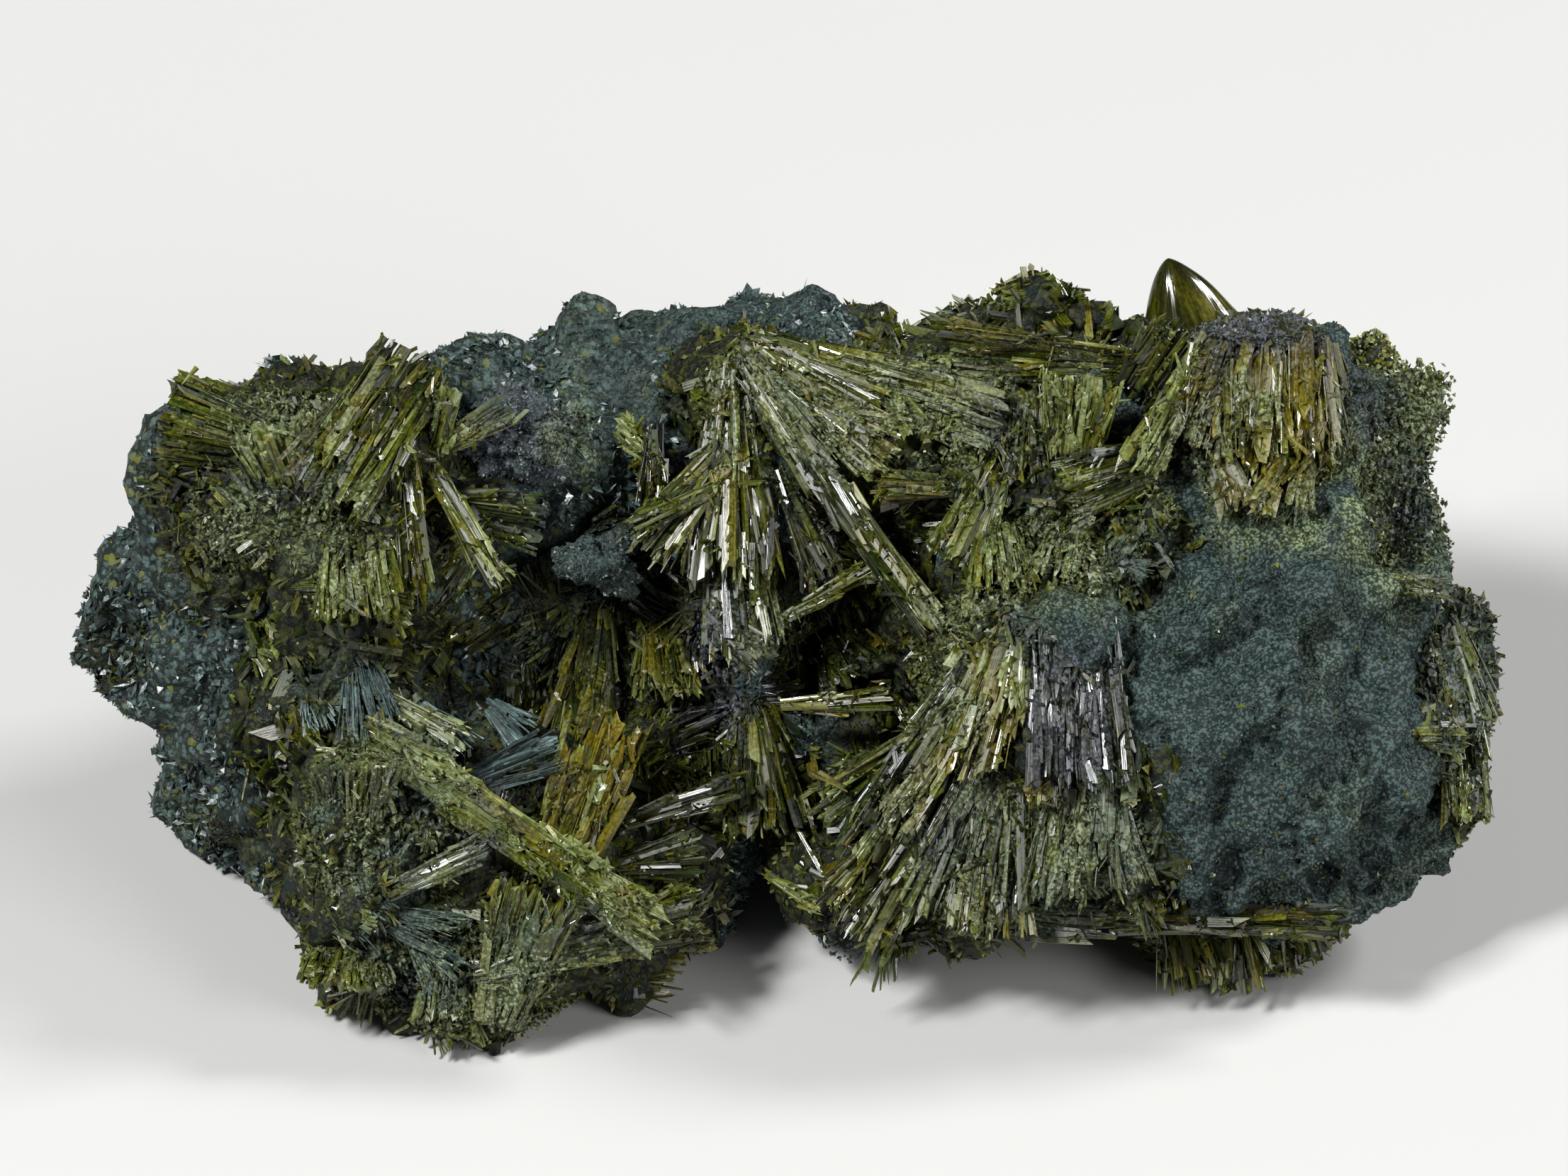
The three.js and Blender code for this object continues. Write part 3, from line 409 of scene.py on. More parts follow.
class Coat(Enum):
    """What lies on the crystals in places: how much of it lies thinly everywhere, a seed, and its patches."""

    CRUST = (0.14, 5, patches(
        (-14.8, 18.4, 2, 1.1, 1), (-13.1, 14.7, 1.5, 1.8, 0.85), (-12.4, 6.3, 1.8, 2.8, 1),
        (3.2, 18.6, 4.6, 2, 0.75), (8.4, 14.4, 2.4, 1.8, 0.75), (8.5, 5.4, 1.5, 1.7, 0.95),
        (-9, 2.1, 3.2, 1.9, 1), (6, 4.8, 2.6, 1.6, 0.5), (-1.2, 18.9, 1.5, 1.7, 0.55),
        (12.1, 17, 1.3, 2.2, 0.55), (14.8, 15.5, 2.6, 1.2, 0.6), (14, 19.1, 1.1, 0.7, 0.9),
        (9.2, 5.6, 1.7, 1.5, 1.1), (5, 11.2, 1, 1, 0.7), (3.6, 6.8, 0.8, 0.8, 0.8), (6.2, 7.4, 0.8, 0.9, 0.9),
        (7.4, 5, 0.7, 1.2, 0.8), (-15.6, 15.4, 1.4, 1.3, 0.9), (5.6, 9.4, 0.5, 1, 0.9),
        (5, 9.8, 1.5, 0.9, 0.8), (6.6, 6.6, 1.1, 0.8, 0.7), (-6.2, 17.8, 1, 1.2, 0.9),
        (-16.6, 15.4, 1, 1.6, 0.6), (6.8, 12.6, 3, 0.8, 0.9), (-10.6, 5, 1.8, 1.6, 0.5),
        (-4.3, 3.4, 1.4, 1, 0.6), (0, 12.2, 0.9, 1.4, 0.6), (18.6, 16.6, 2.6, 3.8, 1)))
    DUST = (0.13, 4, patches(
        (-11.6, 5, 1.4, 1.6, 0.8), (-13.4, 7.4, 1, 1.2, 0.8), (-10.4, 1.6, 1.4, 0.8, 0.8),
        (-10.4, 7.4, 1.8, 1, 0.7), (-10.2, 9.3, 2.2, 1.3, 0.8), (-9.2, 6.3, 1.2, 1, 0.6),
        (-11, 3, 2, 1.3, 0.7), (20.2, 10.8, 1.4, 3.2, 0.75), (19.5, 14.4, 1.2, 2, 0.9),
        (10.6, 11, 1.3, 1.8, 0.8), (-7.2, 3.4, 1.2, 0.9, 0.6), (10.1, 6.2, 1, 2.2, 0.8),
        (10.9, 14.2, 1.6, 1.2, 0.8), (-12.9, 10.6, 2.2, 1, 0.7), (17.8, 19, 1, 0.9, 0.8),
        (-8.2, 19.4, 1.4, 1, 0.9), (8, 12.3, 2.4, 0.8, 1), (7.6, 3.9, 1.2, 0.7, 0.8), (5.2, 6, 0.9, 0.7, 0.6),
        (19, 16.6, 0.6, 1.4, 0.6), (-5.6, 14.2, 1.8, 1.5, 0.7), (-7.5, 12, 1.8, 1.4, 0.4)))
    VIOLET = (0.04, 6, patches(
        (17.2, 18.7, 1.1, 1.2, 0.8), (18.5, 16.4, 0.9, 1.7, 0.7), (4.4, 6.2, 0.8, 0.6, 0.7),
        (-1.9, 12.2, 1, 1.7, 0.85), (-1.4, 10.4, 0.7, 0.8, 0.8), (8.5, 9.8, 1.5, 2.6, 0.8),
        (4, 8.2, 0.6, 0.5, 0.8), (14.2, 21, 2.2, 0.8, 1), (-8.9, 5.5, 0.9, 0.9, 0.6),
        (-5.9, 3.6, 0.7, 0.6, 0.7), (-8, 17.8, 2, 1.5, 0.7), (-14.4, 16.5, 1, 0.7, 0.85),
        (6.2, 18.4, 0.8, 0.8, 0.6)))

    def cover(self, points: Array) -> Array:
        """How much of this coat lies at each point: the strongest patch, broken up by noise, none behind.

        Args:
            points: N x 3 points of the specimen's frame.

        Returns:
            N values from 0 to 1.
        """
        thin, seed, own = self.value
        places = to_picture(points)
        cover = np.max([patch.cover(places) for patch in own], axis=0) * smooth(-5.5, -3.5, places[:, 2])
        ragged = 0.7 + 0.9 * fractal(points, 0.7, 60 + seed, 2)
        everywhere = thin * smooth(0.15, 0.6, lattice_noise(points, 1.3, 70 + seed))
        return np.clip(cover * ragged + everywhere, 0, 1)


@dataclass
class Shell:
    """Triangles with values at their corners, in millimetres, before they become a mesh."""

    points: Array
    faces: Array
    values: dict[str, Array] = field(default_factory=dict)
    uv: Array | None = None

    @classmethod
    def joined(cls, shells: list["Shell"]) -> "Shell":
        """Put several shells into one, each keeping its own triangles.

        Args:
            shells: shells with the same value names.

        Returns:
            One shell.
        """
        starts = np.cumsum([0] + [len(s.points) for s in shells[:-1]])
        return cls(
            np.concatenate([s.points for s in shells]),
            np.concatenate([s.faces + n for s, n in zip(shells, starts)]),
            {k: np.concatenate([s.values[k] for s in shells]) for k in shells[0].values},
            np.concatenate([s.uv for s in shells]))

    def coated(self) -> "Shell":
        """Adds how much of each coat lies at each point."""
        for coat in Coat:
            self.values[coat.name.lower()] = coat.cover(self.points)
        return self

    def piece(self, name: str, finish: "Finish", slot: str, nodes: tuple[str, ...] = (),
              soft: bool = False) -> None:
        """Make the mesh object, dress it and place it in the frame.

        Args:
            name: the object's name.
            finish: its material.
            slot: the record's material slot; not used.
            nodes: CAD nodes that it stands for.
            soft: whether its faces are shaded smooth.
        """
        mesh = bpy.data.meshes.new(name)
        count = len(self.faces)
        mesh.vertices.add(len(self.points))
        mesh.vertices.foreach_set("co", (self.points * MM).astype(np.float32).ravel())
        mesh.loops.add(3 * count)
        mesh.loops.foreach_set("vertex_index", self.faces.astype(np.int32).ravel())
        mesh.polygons.add(count)
        mesh.polygons.foreach_set("loop_start", np.arange(0, 3 * count, 3, dtype=np.int32))
        for key, value in self.values.items():
            mesh.attributes.new(key, "FLOAT", "POINT").data.foreach_set("value", value.astype(np.float32))
        if self.uv is not None:
            layer = mesh.uv_layers.new(name="UVMap")
            layer.data.foreach_set("uv", self.uv.astype(np.float32).ravel())
        mesh.update()
        mesh.validate()
        (mesh.shade_smooth if soft else mesh.shade_flat)()
        piece = bpy.data.objects.new(name, mesh)
        bpy.context.scene.collection.objects.link(piece)
        mesh.materials.append(finish.material())
        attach(piece, "root")
        if nodes:
            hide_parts(*nodes)
        log.info("%s: %d triangles", name, count)


@dataclass
class Prisms:
    """Straight crystals from root to tip, each a closed prism with its own width, thickness and shade."""

    root: Array
    tip: Array
    facing: Array
    wide: Array
    thick: Array
    shade: Array
    slant: Array
    warm: Array

    @classmethod
    def joined(cls, groups: list["Prisms"]) -> "Prisms":
        """Put several groups of crystals into one."""
        return cls(*(np.concatenate([getattr(g, k) for g in groups]) for k in cls.__dataclass_fields__))

    def __len__(self) -> int:
        """How many crystals there are."""
        return len(self.root)

    @property
    def way(self) -> Array:
        """From each crystal's root to its tip."""
        return self.tip - self.root

    def above_floor(self) -> "Prisms":
        """Leave out crystals that start near the floor, and shorten those that would run into it."""
        low = FLOOR_GAP + self.wide / 2
        keep = self.root[:, 2] > low + FLOOR_GAP
        kept, low = Prisms(*(getattr(self, k)[keep] for k in self.__dataclass_fields__)), low[keep]
        fall = np.maximum(kept.root[:, 2] - kept.tip[:, 2], 1e-9)
        share = np.where(kept.tip[:, 2] < low, np.clip((kept.root[:, 2] - low) / fall, 0.05, 1), 1)
        kept.tip = kept.root + kept.way * share[:, None]
        return kept

    def spots(self, count: int, rng: Random) -> tuple[Array, Array]:
        """Pick crystals at random: their numbers, and a place along each."""
        pick = rng.integers(0, len(self), count)
        along = rng.random((count, 1))
        return pick, self.root[pick] + self.way[pick] * along

    def sugar(self, count: int, rng: Random, size: float = 0.09) -> "Prisms":
        """Small pale grains stuck to the crystals where the crust lies.

        Args:
            count: how many places are tried.
            rng: the random numbers.
            size: a grain's width.

        Returns:
            The grains.
        """
        pick, places = self.spots(count, rng)
        places += self.facing[pick] * self.thick[pick, None] * rng.uniform(0.2, 0.6, (count, 1))
        places = places[rng.random(count) < np.maximum(Coat.CRUST.cover(places), 0.05)]
        n = len(places)
        wide = varied(rng, size, 0.35, n)
        way = unit(rng.normal(0, 1, (n, 3))) * wide[:, None] / 2
        return Prisms(places - way, places + way, unit(rng.normal(0, 1, (n, 3))), wide, wide * 0.8,
                      rng.uniform(0.3, 1.1, n), rng.normal(0, 0.4, n), rng.uniform(0, 0.3, n))

    def chips(self, count: int, rng: Random, length: float = 0.27, wide: float = 0.09) -> "Prisms":
        """Short broken crystals that lie on these ones, turned any way along their faces, about one in six of
        them more than twice as long.

        Args:
            count: how many.
            rng: the random numbers.
            length: a chip's mean length.
            wide: its mean width.

        Returns:
            The chips.
        """
        pick, places = self.spots(count, rng)
        places += self.facing[pick] * self.thick[pick, None] * 0.6
        way = unit(unit(self.way[pick]) + 0.7 * rng.normal(0, 1, (count, 3)))
        size = np.where(rng.random(count) < 0.16, 2.2, 1)
        reach = way * varied(rng, length * size[:, None], 0.4, (count, 1)) / 2
        wide = varied(rng, wide * size**0.6, 0.3, count)
        return Prisms(places - reach, places + reach, unit(self.facing[pick] + 0.3 * way), wide,
                      wide * rng.uniform(0.5, 1, count), self.shade[pick] + rng.normal(0.05, 0.15, count),
                      rng.normal(0, 0.5, count), self.warm[pick])

    def cracked(self, parts: int, rng: Random, gap: float = 0.03) -> "Prisms":
        """Break each crystal across into pieces of uneven length that are turned a little from one another.

        Args:
            parts: how many pieces each crystal breaks into.
            rng: the random numbers.
            gap: the width of a crack, in millimetres.

        Returns:
            The broken crystals.
        """
        n = len(self)
        cuts = np.sort(rng.random((n, parts - 1)), axis=1)
        edges = np.concatenate([np.zeros((n, 1)), cuts, np.ones((n, 1))], axis=1)
        length = np.linalg.norm(self.way, axis=1)[:, None]
        groups = []
        for k in range(parts):
            low, high = edges[:, k : k + 1], edges[:, k + 1 : k + 2] - gap / length
            high = np.maximum(high, low + 0.02)
            nudge = rng.normal(0, 0.012, (n, 3))
            turn = rng.normal(0, 0.1, (n, 1)) * np.cross(self.facing, unit(self.way))
            groups.append(Prisms(
                self.root + self.way * low + nudge,
                self.root + self.way * high + nudge * rng.normal(0, 1, (n, 1)),
                unit(self.facing + turn), self.wide, self.thick,
                self.shade + rng.normal(0, 0.1, n), self.slant * rng.normal(0.3, 0.3, n), self.warm))
        return Prisms.joined(groups)

    def frame(self) -> tuple[Array, Array, Array]:
        """Each crystal's own directions: along it, across it and out of its face."""
        axis = unit(self.way)
        across = unit(np.cross(self.facing, axis))
        return axis, across, np.cross(axis, across)

    def rings(self, x: Array, y: Array, scale: Array, end: Array) -> list[Array]:
        """Carry a section from root to tip.

        Args:
            x: how far each corner of each crystal's section lies across it.
            y: how far it lies out of its face.
            scale: the size of each crystal's tip beside its root.
            end: how far past the tip each corner ends.

        Returns:
            The corners at the root and those at the tip.
        """
        axis, across, normal = self.frame()
        section = x[..., None] * across[:, None] + y[..., None] * normal[:, None]
        tips = self.tip[:, None] + section * scale + end[..., None] * axis[:, None]
        return [self.root[:, None] + section, tips]

    def needles(self, rng: Random, sides: int = 3) -> Shell:
        """The crystals as needles: a polygon squeezed to each crystal's width and thickness, with uneven
        corners, carried from root to tip, where it narrows and its end is tilted by the crystal's slant.

        Args:
            rng: the random numbers.
            sides: how many sides a crystal has.

        Returns:
            The shell.
        """
        n = len(self)
        angle = 2 * math.pi * (np.arange(sides) / sides + 0.25)
        uneven = rng.uniform(0.82, 1.12, (n, sides))
        x = np.cos(angle) * uneven * self.wide[:, None] / 2
        y = np.sin(angle) * uneven * self.thick[:, None] / 2
        one = (n, 1, 1)
        taper = np.where(rng.random(one) < 0.4, rng.uniform(0.2, 0.6, one), rng.uniform(0.75, 1, one))
        end = x * self.slant[:, None] + rng.normal(0, 0.25, (n, sides)) * self.thick[:, None]
        points = np.concatenate(self.rings(x, y, taper, end), 1)
        k = np.arange(1, sides - 1)
        caps = np.concatenate([spokes(0, k + 1, k), sides + spokes(0, k, k + 1)])
        return self.meshed(points, sides, caps, self.shade[:, None].repeat(2 * sides, 1), rng)

    def blades(self, rng: Random, corners: int = 6) -> Shell:
        """The crystals as ridged blades, each a bundle grown into one: a flattened ring with every other
        corner drawn in, carried from root to tip, where each corner ends at its own height and a middle point
        closes the end.

        Args:
            rng: the random numbers.
            corners: how many corners the ring has, an even number.

        Returns:
            The shell.
        """
        n = len(self)
        angle = 2 * math.pi * (np.arange(corners) + 0.5) / corners
        ridge = np.where(np.arange(corners) % 2, 0.74, 1.0) * rng.uniform(0.88, 1.12, (n, corners))
        x = np.sign(np.cos(angle)) * np.abs(np.cos(angle)) ** 0.8 * self.wide[:, None] / 2
        x = x * rng.uniform(0.94, 1.06, (n, corners))
        y = np.sin(angle) * ridge * self.thick[:, None] / 2
        spread = rng.uniform(0.75, 1.3, (n, 1, 1))
        end = x * self.slant[:, None] + rng.normal(0, 0.4, (n, corners)) * self.wide[:, None]
        middle = self.tip + unit(self.way) * end[..., None].mean(1)
        points = np.concatenate([*self.rings(x, y, spread, end), middle[:, None]], 1)
        k = np.arange(corners)
        inner = k[1:-1]
        caps = np.concatenate([spokes(0, inner + 1, inner),
                               spokes(2 * corners, corners + k, corners + (k + 1) % corners)])
        striped = self.shade[:, None] + rng.normal(0, 0.11, (n, corners))
        shade = np.concatenate([striped, striped, self.shade[:, None]], 1)
        return self.meshed(points, corners, caps, shade, rng)

    def gems(self) -> Shell:
        """The crystals as grains: three corners round the middle and a point at each end."""
        n, sides = len(self), 3
        _, across, normal = self.frame()
        middle = (self.root + self.tip) / 2
        wide, thick = self.wide[:, None] / 2 * across, self.thick[:, None] / 2 * normal
        turns = 2 * math.pi * np.arange(sides) / sides
        corners = [middle + math.cos(turn) * wide + math.sin(turn) * thick for turn in turns]
        points = np.stack([*corners, self.root, self.tip], 1)
        k = np.arange(sides)
        after, per = (k + 1) % sides, sides + 2
        template = np.concatenate([spokes(sides, after, k), spokes(sides + 1, k, after)])
        faces = (template[None] + per * np.arange(n)[:, None, None]).reshape(-1, 3)
        values = {"shade": self.shade.repeat(per), "along": np.full(per * n, 0.5),
                  "warm": self.warm.repeat(per), "dull": np.minimum(1.5 * np.abs(self.slant), 1).repeat(per)}
        return Shell(points.reshape(-1, 3), faces, values, np.zeros((3 * len(faces), 2))).coated()

    def meshed(self, points: Array, sides: int, caps: Array, shade: Array, rng: Random) -> Shell:
        """Join each crystal's rings by walls and its caps, and give it its values and a UV map.

        Args:
            points: for each crystal its root ring, its tip ring and any further points.
            sides: how many points a ring has.
            caps: the triangles that close the ends.
            shade: a shade for each point.
            rng: the random numbers.

        Returns:
            The shell, with its UV map's U across and V along, in millimetres.
        """
        n, per = points.shape[:2]
        k, low, high = np.arange(sides), np.zeros(sides, int), np.ones(sides, int)
        after = (k + 1) % sides
        template = np.concatenate([quads(k, after, sides + after, sides + k), caps])
        column = np.concatenate([quads(k, k + 1, k + 1, k), caps % sides])
        row = np.concatenate([quads(low, low, high, high), np.minimum(caps // sides, 1)])
        uv = np.stack([column, row], -1)[None].repeat(n, 0).astype(float)
        uv[..., 0] = uv[..., 0] / sides * self.wide[:, None, None] * 3 + rng.random((n, 1, 1)) * 50
        uv[..., 1] *= np.linalg.norm(self.way, axis=1)[:, None, None]
        faces = template[None] + (np.arange(n) * per)[:, None, None]
        flat = points.reshape(-1, 3)
        dull = np.where(rng.random(n) < 0.4, rng.uniform(0, 0.2, n), rng.uniform(0.4, 1, n))
        values = {"shade": shade.ravel() + mottle(flat), "along": np.tile(np.arange(per) >= sides, n),
                  "warm": np.clip(self.warm.repeat(per) + 0.25 * lattice_noise(flat, 1.5, 91), 0, 1),
                  "dull": dull.repeat(per)}
        return Shell(flat, faces.reshape(-1, 3), values, uv.reshape(-1, 2)).coated()


class Tone(Enum):
    """How light a sheaf's crystals are: their mean shade, and how far they differ."""

    DEEP = (0.16, 0.10)
    DARK = (0.3, 0.13)
    OLIVE = (0.48, 0.15)
    BRIGHT = (0.62, 0.14)
    PALE = (0.82, 0.12)
    MIXED = (0.5, 0.28)


DEEP, DARK, OLIVE, BRIGHT, PALE, MIXED = Tone  # short names for the tables of sheaves

# A fused sheaf's columns and rows: their size in millimetres, and the fewest and the most of them
COLUMN_WIDTH, COLUMNS = 0.12, (8, 34)
ROW_LENGTH, ROWS = 0.28, (6, 22)
LAYER = 0.25  # the depth that one layer of blades takes up
NEEDLE = 0.06  # the width of the needles between the blades
WIDEST = 0.45  # no blade is wider


@dataclass(frozen=True)
class Sheaf:
    """Crystals grown side by side from a root, opening like a fan: root and tip are picture places.

    base is the sheaf's width at its root, thick its depth, fan the angle in degrees that it opens by, blade a
    blade's mean width, dome how far its outer crystals fall back, broken how many pieces a crystal lies in,
    ragged how unevenly they end, packing how closely they stand, warm how brown it is and loose the share of
    its crystals that stand free of its body.
    """

    root: Triple
    tip: Triple
    base: float
    thick: float
    fan: float = 0
    tone: Tone = OLIVE
    blade: float = 0.15
    dome: float = 0
    broken: int = 1
    ragged: float = 0.24
    packing: float = 1.5
    warm: float = 0.22
    loose: float = 0.25

    def core(self, rng: Random) -> Shell:
        """The sheaf's crystals where they have grown into one body: a slab that opens like the sheaf. Its
        columns stand out and end unevenly, some break off in a step, and a strip between its two faces closes
        each end.

        Args:
            rng: the random numbers.

        Returns:
            The body.
        """
        start, axis, side, facing, length, half, breadth = self.shape()
        columns = int(np.clip(breadth / COLUMN_WIDTH, *COLUMNS))
        rows = int(np.clip(length / ROW_LENGTH, *ROWS))
        around = 2 * columns
        face = 1 - 2 * (np.arange(columns) + 0.5) / columns
        s = np.concatenate([face, -face])
        t = np.sqrt(1 - s**4) * np.repeat([1, -1], columns)
        pair = np.concatenate([np.arange(columns), np.arange(columns)[::-1]])
        reach = 1 - self.ragged * rng.random(columns)[pair] ** 1.3
        level = np.linspace(0, 1, rows)
        begin = rng.uniform(-0.08, 0.06, columns)[pair, None]
        along = begin + (reach[:, None] - begin) * level
        heading = np.cos(s * half)[:, None] * axis + np.sin(s * half)[:, None] * side
        place = np.stack([(s * breadth)[:, None].repeat(rows, 1), along * length], -1).reshape(-1, 2)
        wavy = lattice_noise(np.column_stack([place * [5, 1.2], np.zeros(len(place))]), 1.0, columns)
        wavy = wavy.reshape(around, rows)
        stood = 1 + 0.14 * rng.normal(0, 1, around)[:, None] + 0.12 * wavy
        step = 0.12 * (level > rng.uniform(0.2, 1.6, around)[:, None])
        lens = smooth(-0.15, 0.2, level) * (1 - 0.3 * level**3)
        out = t[:, None] * (0.42 * self.thick * lens * stood - step * smooth(0, 0.2, level))
        out -= self.dome * (s * s)[:, None] * along
        foot = start + (s * self.base / 2)[:, None, None] * side
        points = foot + (along * length)[..., None] * heading[:, None] + out[..., None] * facing
        points = points.reshape(-1, 3)
        points[:, 2] = np.maximum(points[:, 2], 0.05)
        k, j = np.meshgrid(np.arange(around), np.arange(rows - 1), indexing="ij")
        here, beside = k * rows + j, (k + 1) % around * rows + j
        c = np.arange(columns - 1)
        front, rear = c * rows, (around - 1 - c) * rows
        strip = quads(front, front + rows, rear - rows, rear)
        faces = np.concatenate([quads(here, beside, beside + 1, here + 1), strip[:, ::-1], strip + rows - 1])
        column, row = faces // rows, faces % rows
        wraps = (column == 0) & (column.max(1, keepdims=True) == around - 1)
        column = np.where(wraps, around, column)
        uv = np.stack([column * breadth / columns, row * length / rows], -1).reshape(-1, 2)
        mean, differ = self.tone.value
        streaks = rng.normal(0, 0.5, around) + 0.8 * np.sin(rng.uniform(0, 6) + 5 * s)
        shade = mean + differ * streaks[:, None] + 0.1 * wavy
        values = {"shade": shade.ravel() + mottle(points), "along": np.tile(level, around),
                  "warm": np.clip(self.warm + 0.4 * lattice_noise(points, 1.1, 91), 0, 1),
                  "dull": smooth(-0.3, 0.4, lattice_noise(points, 0.9, 92))}
        return Shell(points, faces, values, uv).coated()

    def shape(self) -> tuple[Array, Array, Array, Array, float, float, float]:
        """The sheaf's root, its directions along, across and out, its length, half its fan and its breadth."""
        start, end = self.ends()
        length = float(np.linalg.norm(end - start))
        axis = (end - start) / length
        side = unit(np.cross(VIEWER, axis))
        half = math.radians(self.fan) / 2
        return start, axis, side, np.cross(axis, side), length, half, self.base + length * math.tan(half)

    def prisms(self, rng: Random) -> tuple[Prisms, Prisms]:
        """The sheaf's blades, long ones and short chips, and the finer needles that lie on and between them.
        A blade starts at a share s across and t through the root and heads along the axis turned by s times
        half the fan.

        Args:
            rng: the random numbers.

        Returns:
            The blades and the needles.
        """
        start, axis, side, facing, length, half, breadth = self.shape()
        rows = max(2, round(self.thick / LAYER))
        whole = self.packing * breadth / self.blade * rows * max(1, length / 3)
        chips = self.packing * breadth * length / self.blade / 1.1
        mean, differ = self.tone.value
        groups, wave = [], rng.uniform(0, 6)
        for width, count, short in ((self.blade, whole * self.loose, False), (self.blade, chips * 0.8, True),
                                    (NEEDLE, whole * 0.4, False)):
            turned, lifted, lengths = (0.1, 0.08, (0.4, 1.4)) if short else (0.045, 0.03, (1.4, 3.4))
            n = max(5, round(count))
            s = (2 * (np.arange(n) + rng.random(n)) / n - 1)[rng.permutation(n)]
            t = rng.uniform(0.2, 1.1, n)
            turn = s * half + rng.normal(0, turned, n)
            lift = t * 0.05 + rng.normal(0, lifted, n) - self.dome * s * s
            deep = t * self.thick / 2 * np.sqrt(1 - 0.5 * s * s)
            foot = start + (s * self.base / 2)[:, None] * side + deep[:, None] * facing
            heading = unit(np.cos(s * half)[:, None] * axis + np.sin(s * half)[:, None] * side)
            begin = rng.uniform(-0.2, 0.85, n).clip(-0.04)
            reach = np.maximum(1 - self.ragged * rng.random(n) ** 1.4, begin + 0.15)
            reach = np.minimum(reach, begin + rng.uniform(*lengths, n) / length)
            way = unit(np.cos(turn)[:, None] * axis + np.sin(turn)[:, None] * side + lift[:, None] * facing)
            root = foot + (begin * length)[:, None] * heading
            wide = np.minimum(varied(rng, width, 0.45, n), WIDEST)
            roll = rng.normal(0, 0.4, n)[:, None]
            groups.append(Prisms(
                root, root + ((reach - begin) * length)[:, None] * way,
                np.cos(roll) * facing + np.sin(roll) * side, wide, wide * rng.uniform(0.35, 0.8, n),
                mean + differ * (rng.normal(0, 0.75, n) + 0.8 * np.sin(wave + 5 * s)), rng.normal(0, 0.5, n),
                share_of(rng, self.warm, 0.22, n)))
        blades, needles = Prisms.joined(groups[:2]), groups[2]
        return blades.cracked(self.broken, rng) if self.broken > 1 else blades, needles

    def ends(self) -> tuple[Array, Array]:
        """The root and the tip in the specimen's frame."""
        start, end = from_picture(np.array([self.root, self.tip]))
        return start, end


def flow(points: Array) -> Array:
    """The way that the sheaves near each point head: their axes, weighted by distance to the power -4.

    Args:
        points: N x 3 points.

    Returns:
        N x 3 unit vectors.
    """
    total = np.zeros_like(points)
    for sheaf in (s for crystals in CRYSTALS for s in crystals.sheaves):
        start, end = sheaf.ends()
        axis = end - start
        share = np.clip((points - start) @ axis / (axis @ axis), 0, 1)
        away = ((points - start - share[:, None] * axis) ** 2).sum(1)
        total += axis / np.linalg.norm(axis) * ((away + 0.3) ** -2)[:, None]
    return unit(total)


WARMTH = (0.15, 0.25)  # how brown small crystals are: the mean, and how far they differ
LONG_GRAIN = 0.5  # longer grains lie only where the ground faces the viewer


@dataclass(frozen=True)
class Sprays:
    """Small fans grown at random on part of the mass: each spreads from its root, low over the surface."""

    count: int
    length: float
    needle: float = 0.14
    each: int = 15
    open: float = 0.22
    tone: Tone = OLIVE
    rise: float = 0.06

    def prisms(self, ground: Ground, rng: Random) -> Prisms:
        """The crystals of all the fans: a heading for each fan, raised from the surface, and for each crystal
        that heading turned at random within the fan's cone. Six fans in ten head much as nearby sheaves do.

        Args:
            ground: where fans may stand.
            rng: the random numbers.

        Returns:
            The crystals.
        """
        ground = ground.towards_viewer()
        pick = rng.permutation(len(ground))[: self.count]
        n, e = len(pick), self.each
        normal = ground.normals[pick]
        stray = rng.normal(0, 1, (n, 3)) * np.where(rng.random((n, 1)) < 0.6, 0.25, 3)
        flat = stray + flow(ground.points[pick])
        flat = unit(flat - (flat * normal).sum(1, keepdims=True) * normal)
        heading = unit(flat + normal * rng.uniform(0, 2 * self.rise, (n, 1)))
        size = varied(rng, self.length, 0.3, (n, 1))
        side = unit(np.cross(normal, heading))
        turn, tilt = rng.normal(0, self.open, (n, e, 1)), rng.normal(0, self.open * 0.3, (n, e, 1))
        way = unit(heading[:, None] + turn * side[:, None] + tilt * normal[:, None])
        spread = rng.normal(0, 0.14, (n, e, 1)) * size[:, None]
        foot = ground.points[pick][:, None] + spread * side[:, None] - 0.2 * normal[:, None]
        begin = rng.uniform(-0.1, 0.35, (n, e, 1)) * size[:, None]
        reach = size[:, None] * rng.uniform(0.6, 1, (n, e, 1))
        wide = varied(rng, self.needle, 0.45, (n, e))
        mean, differ = self.tone.value
        shade = mean + differ * (rng.normal(0, 1.2, (n, 1)) + rng.normal(0, 0.7, (n, e)))
        looks = unit(normal[:, None] + rng.normal(0, 0.35, (n, e, 3)))
        return Prisms(
            (foot + begin * way).reshape(-1, 3), (foot + reach * way).reshape(-1, 3), looks.reshape(-1, 3),
            wide.ravel(), (wide * rng.uniform(0.45, 0.9, (n, e))).ravel(), shade.ravel(),
            rng.normal(0, 0.7, n * e), share_of(rng, *WARMTH, (n, 1)).repeat(e, 1).ravel())


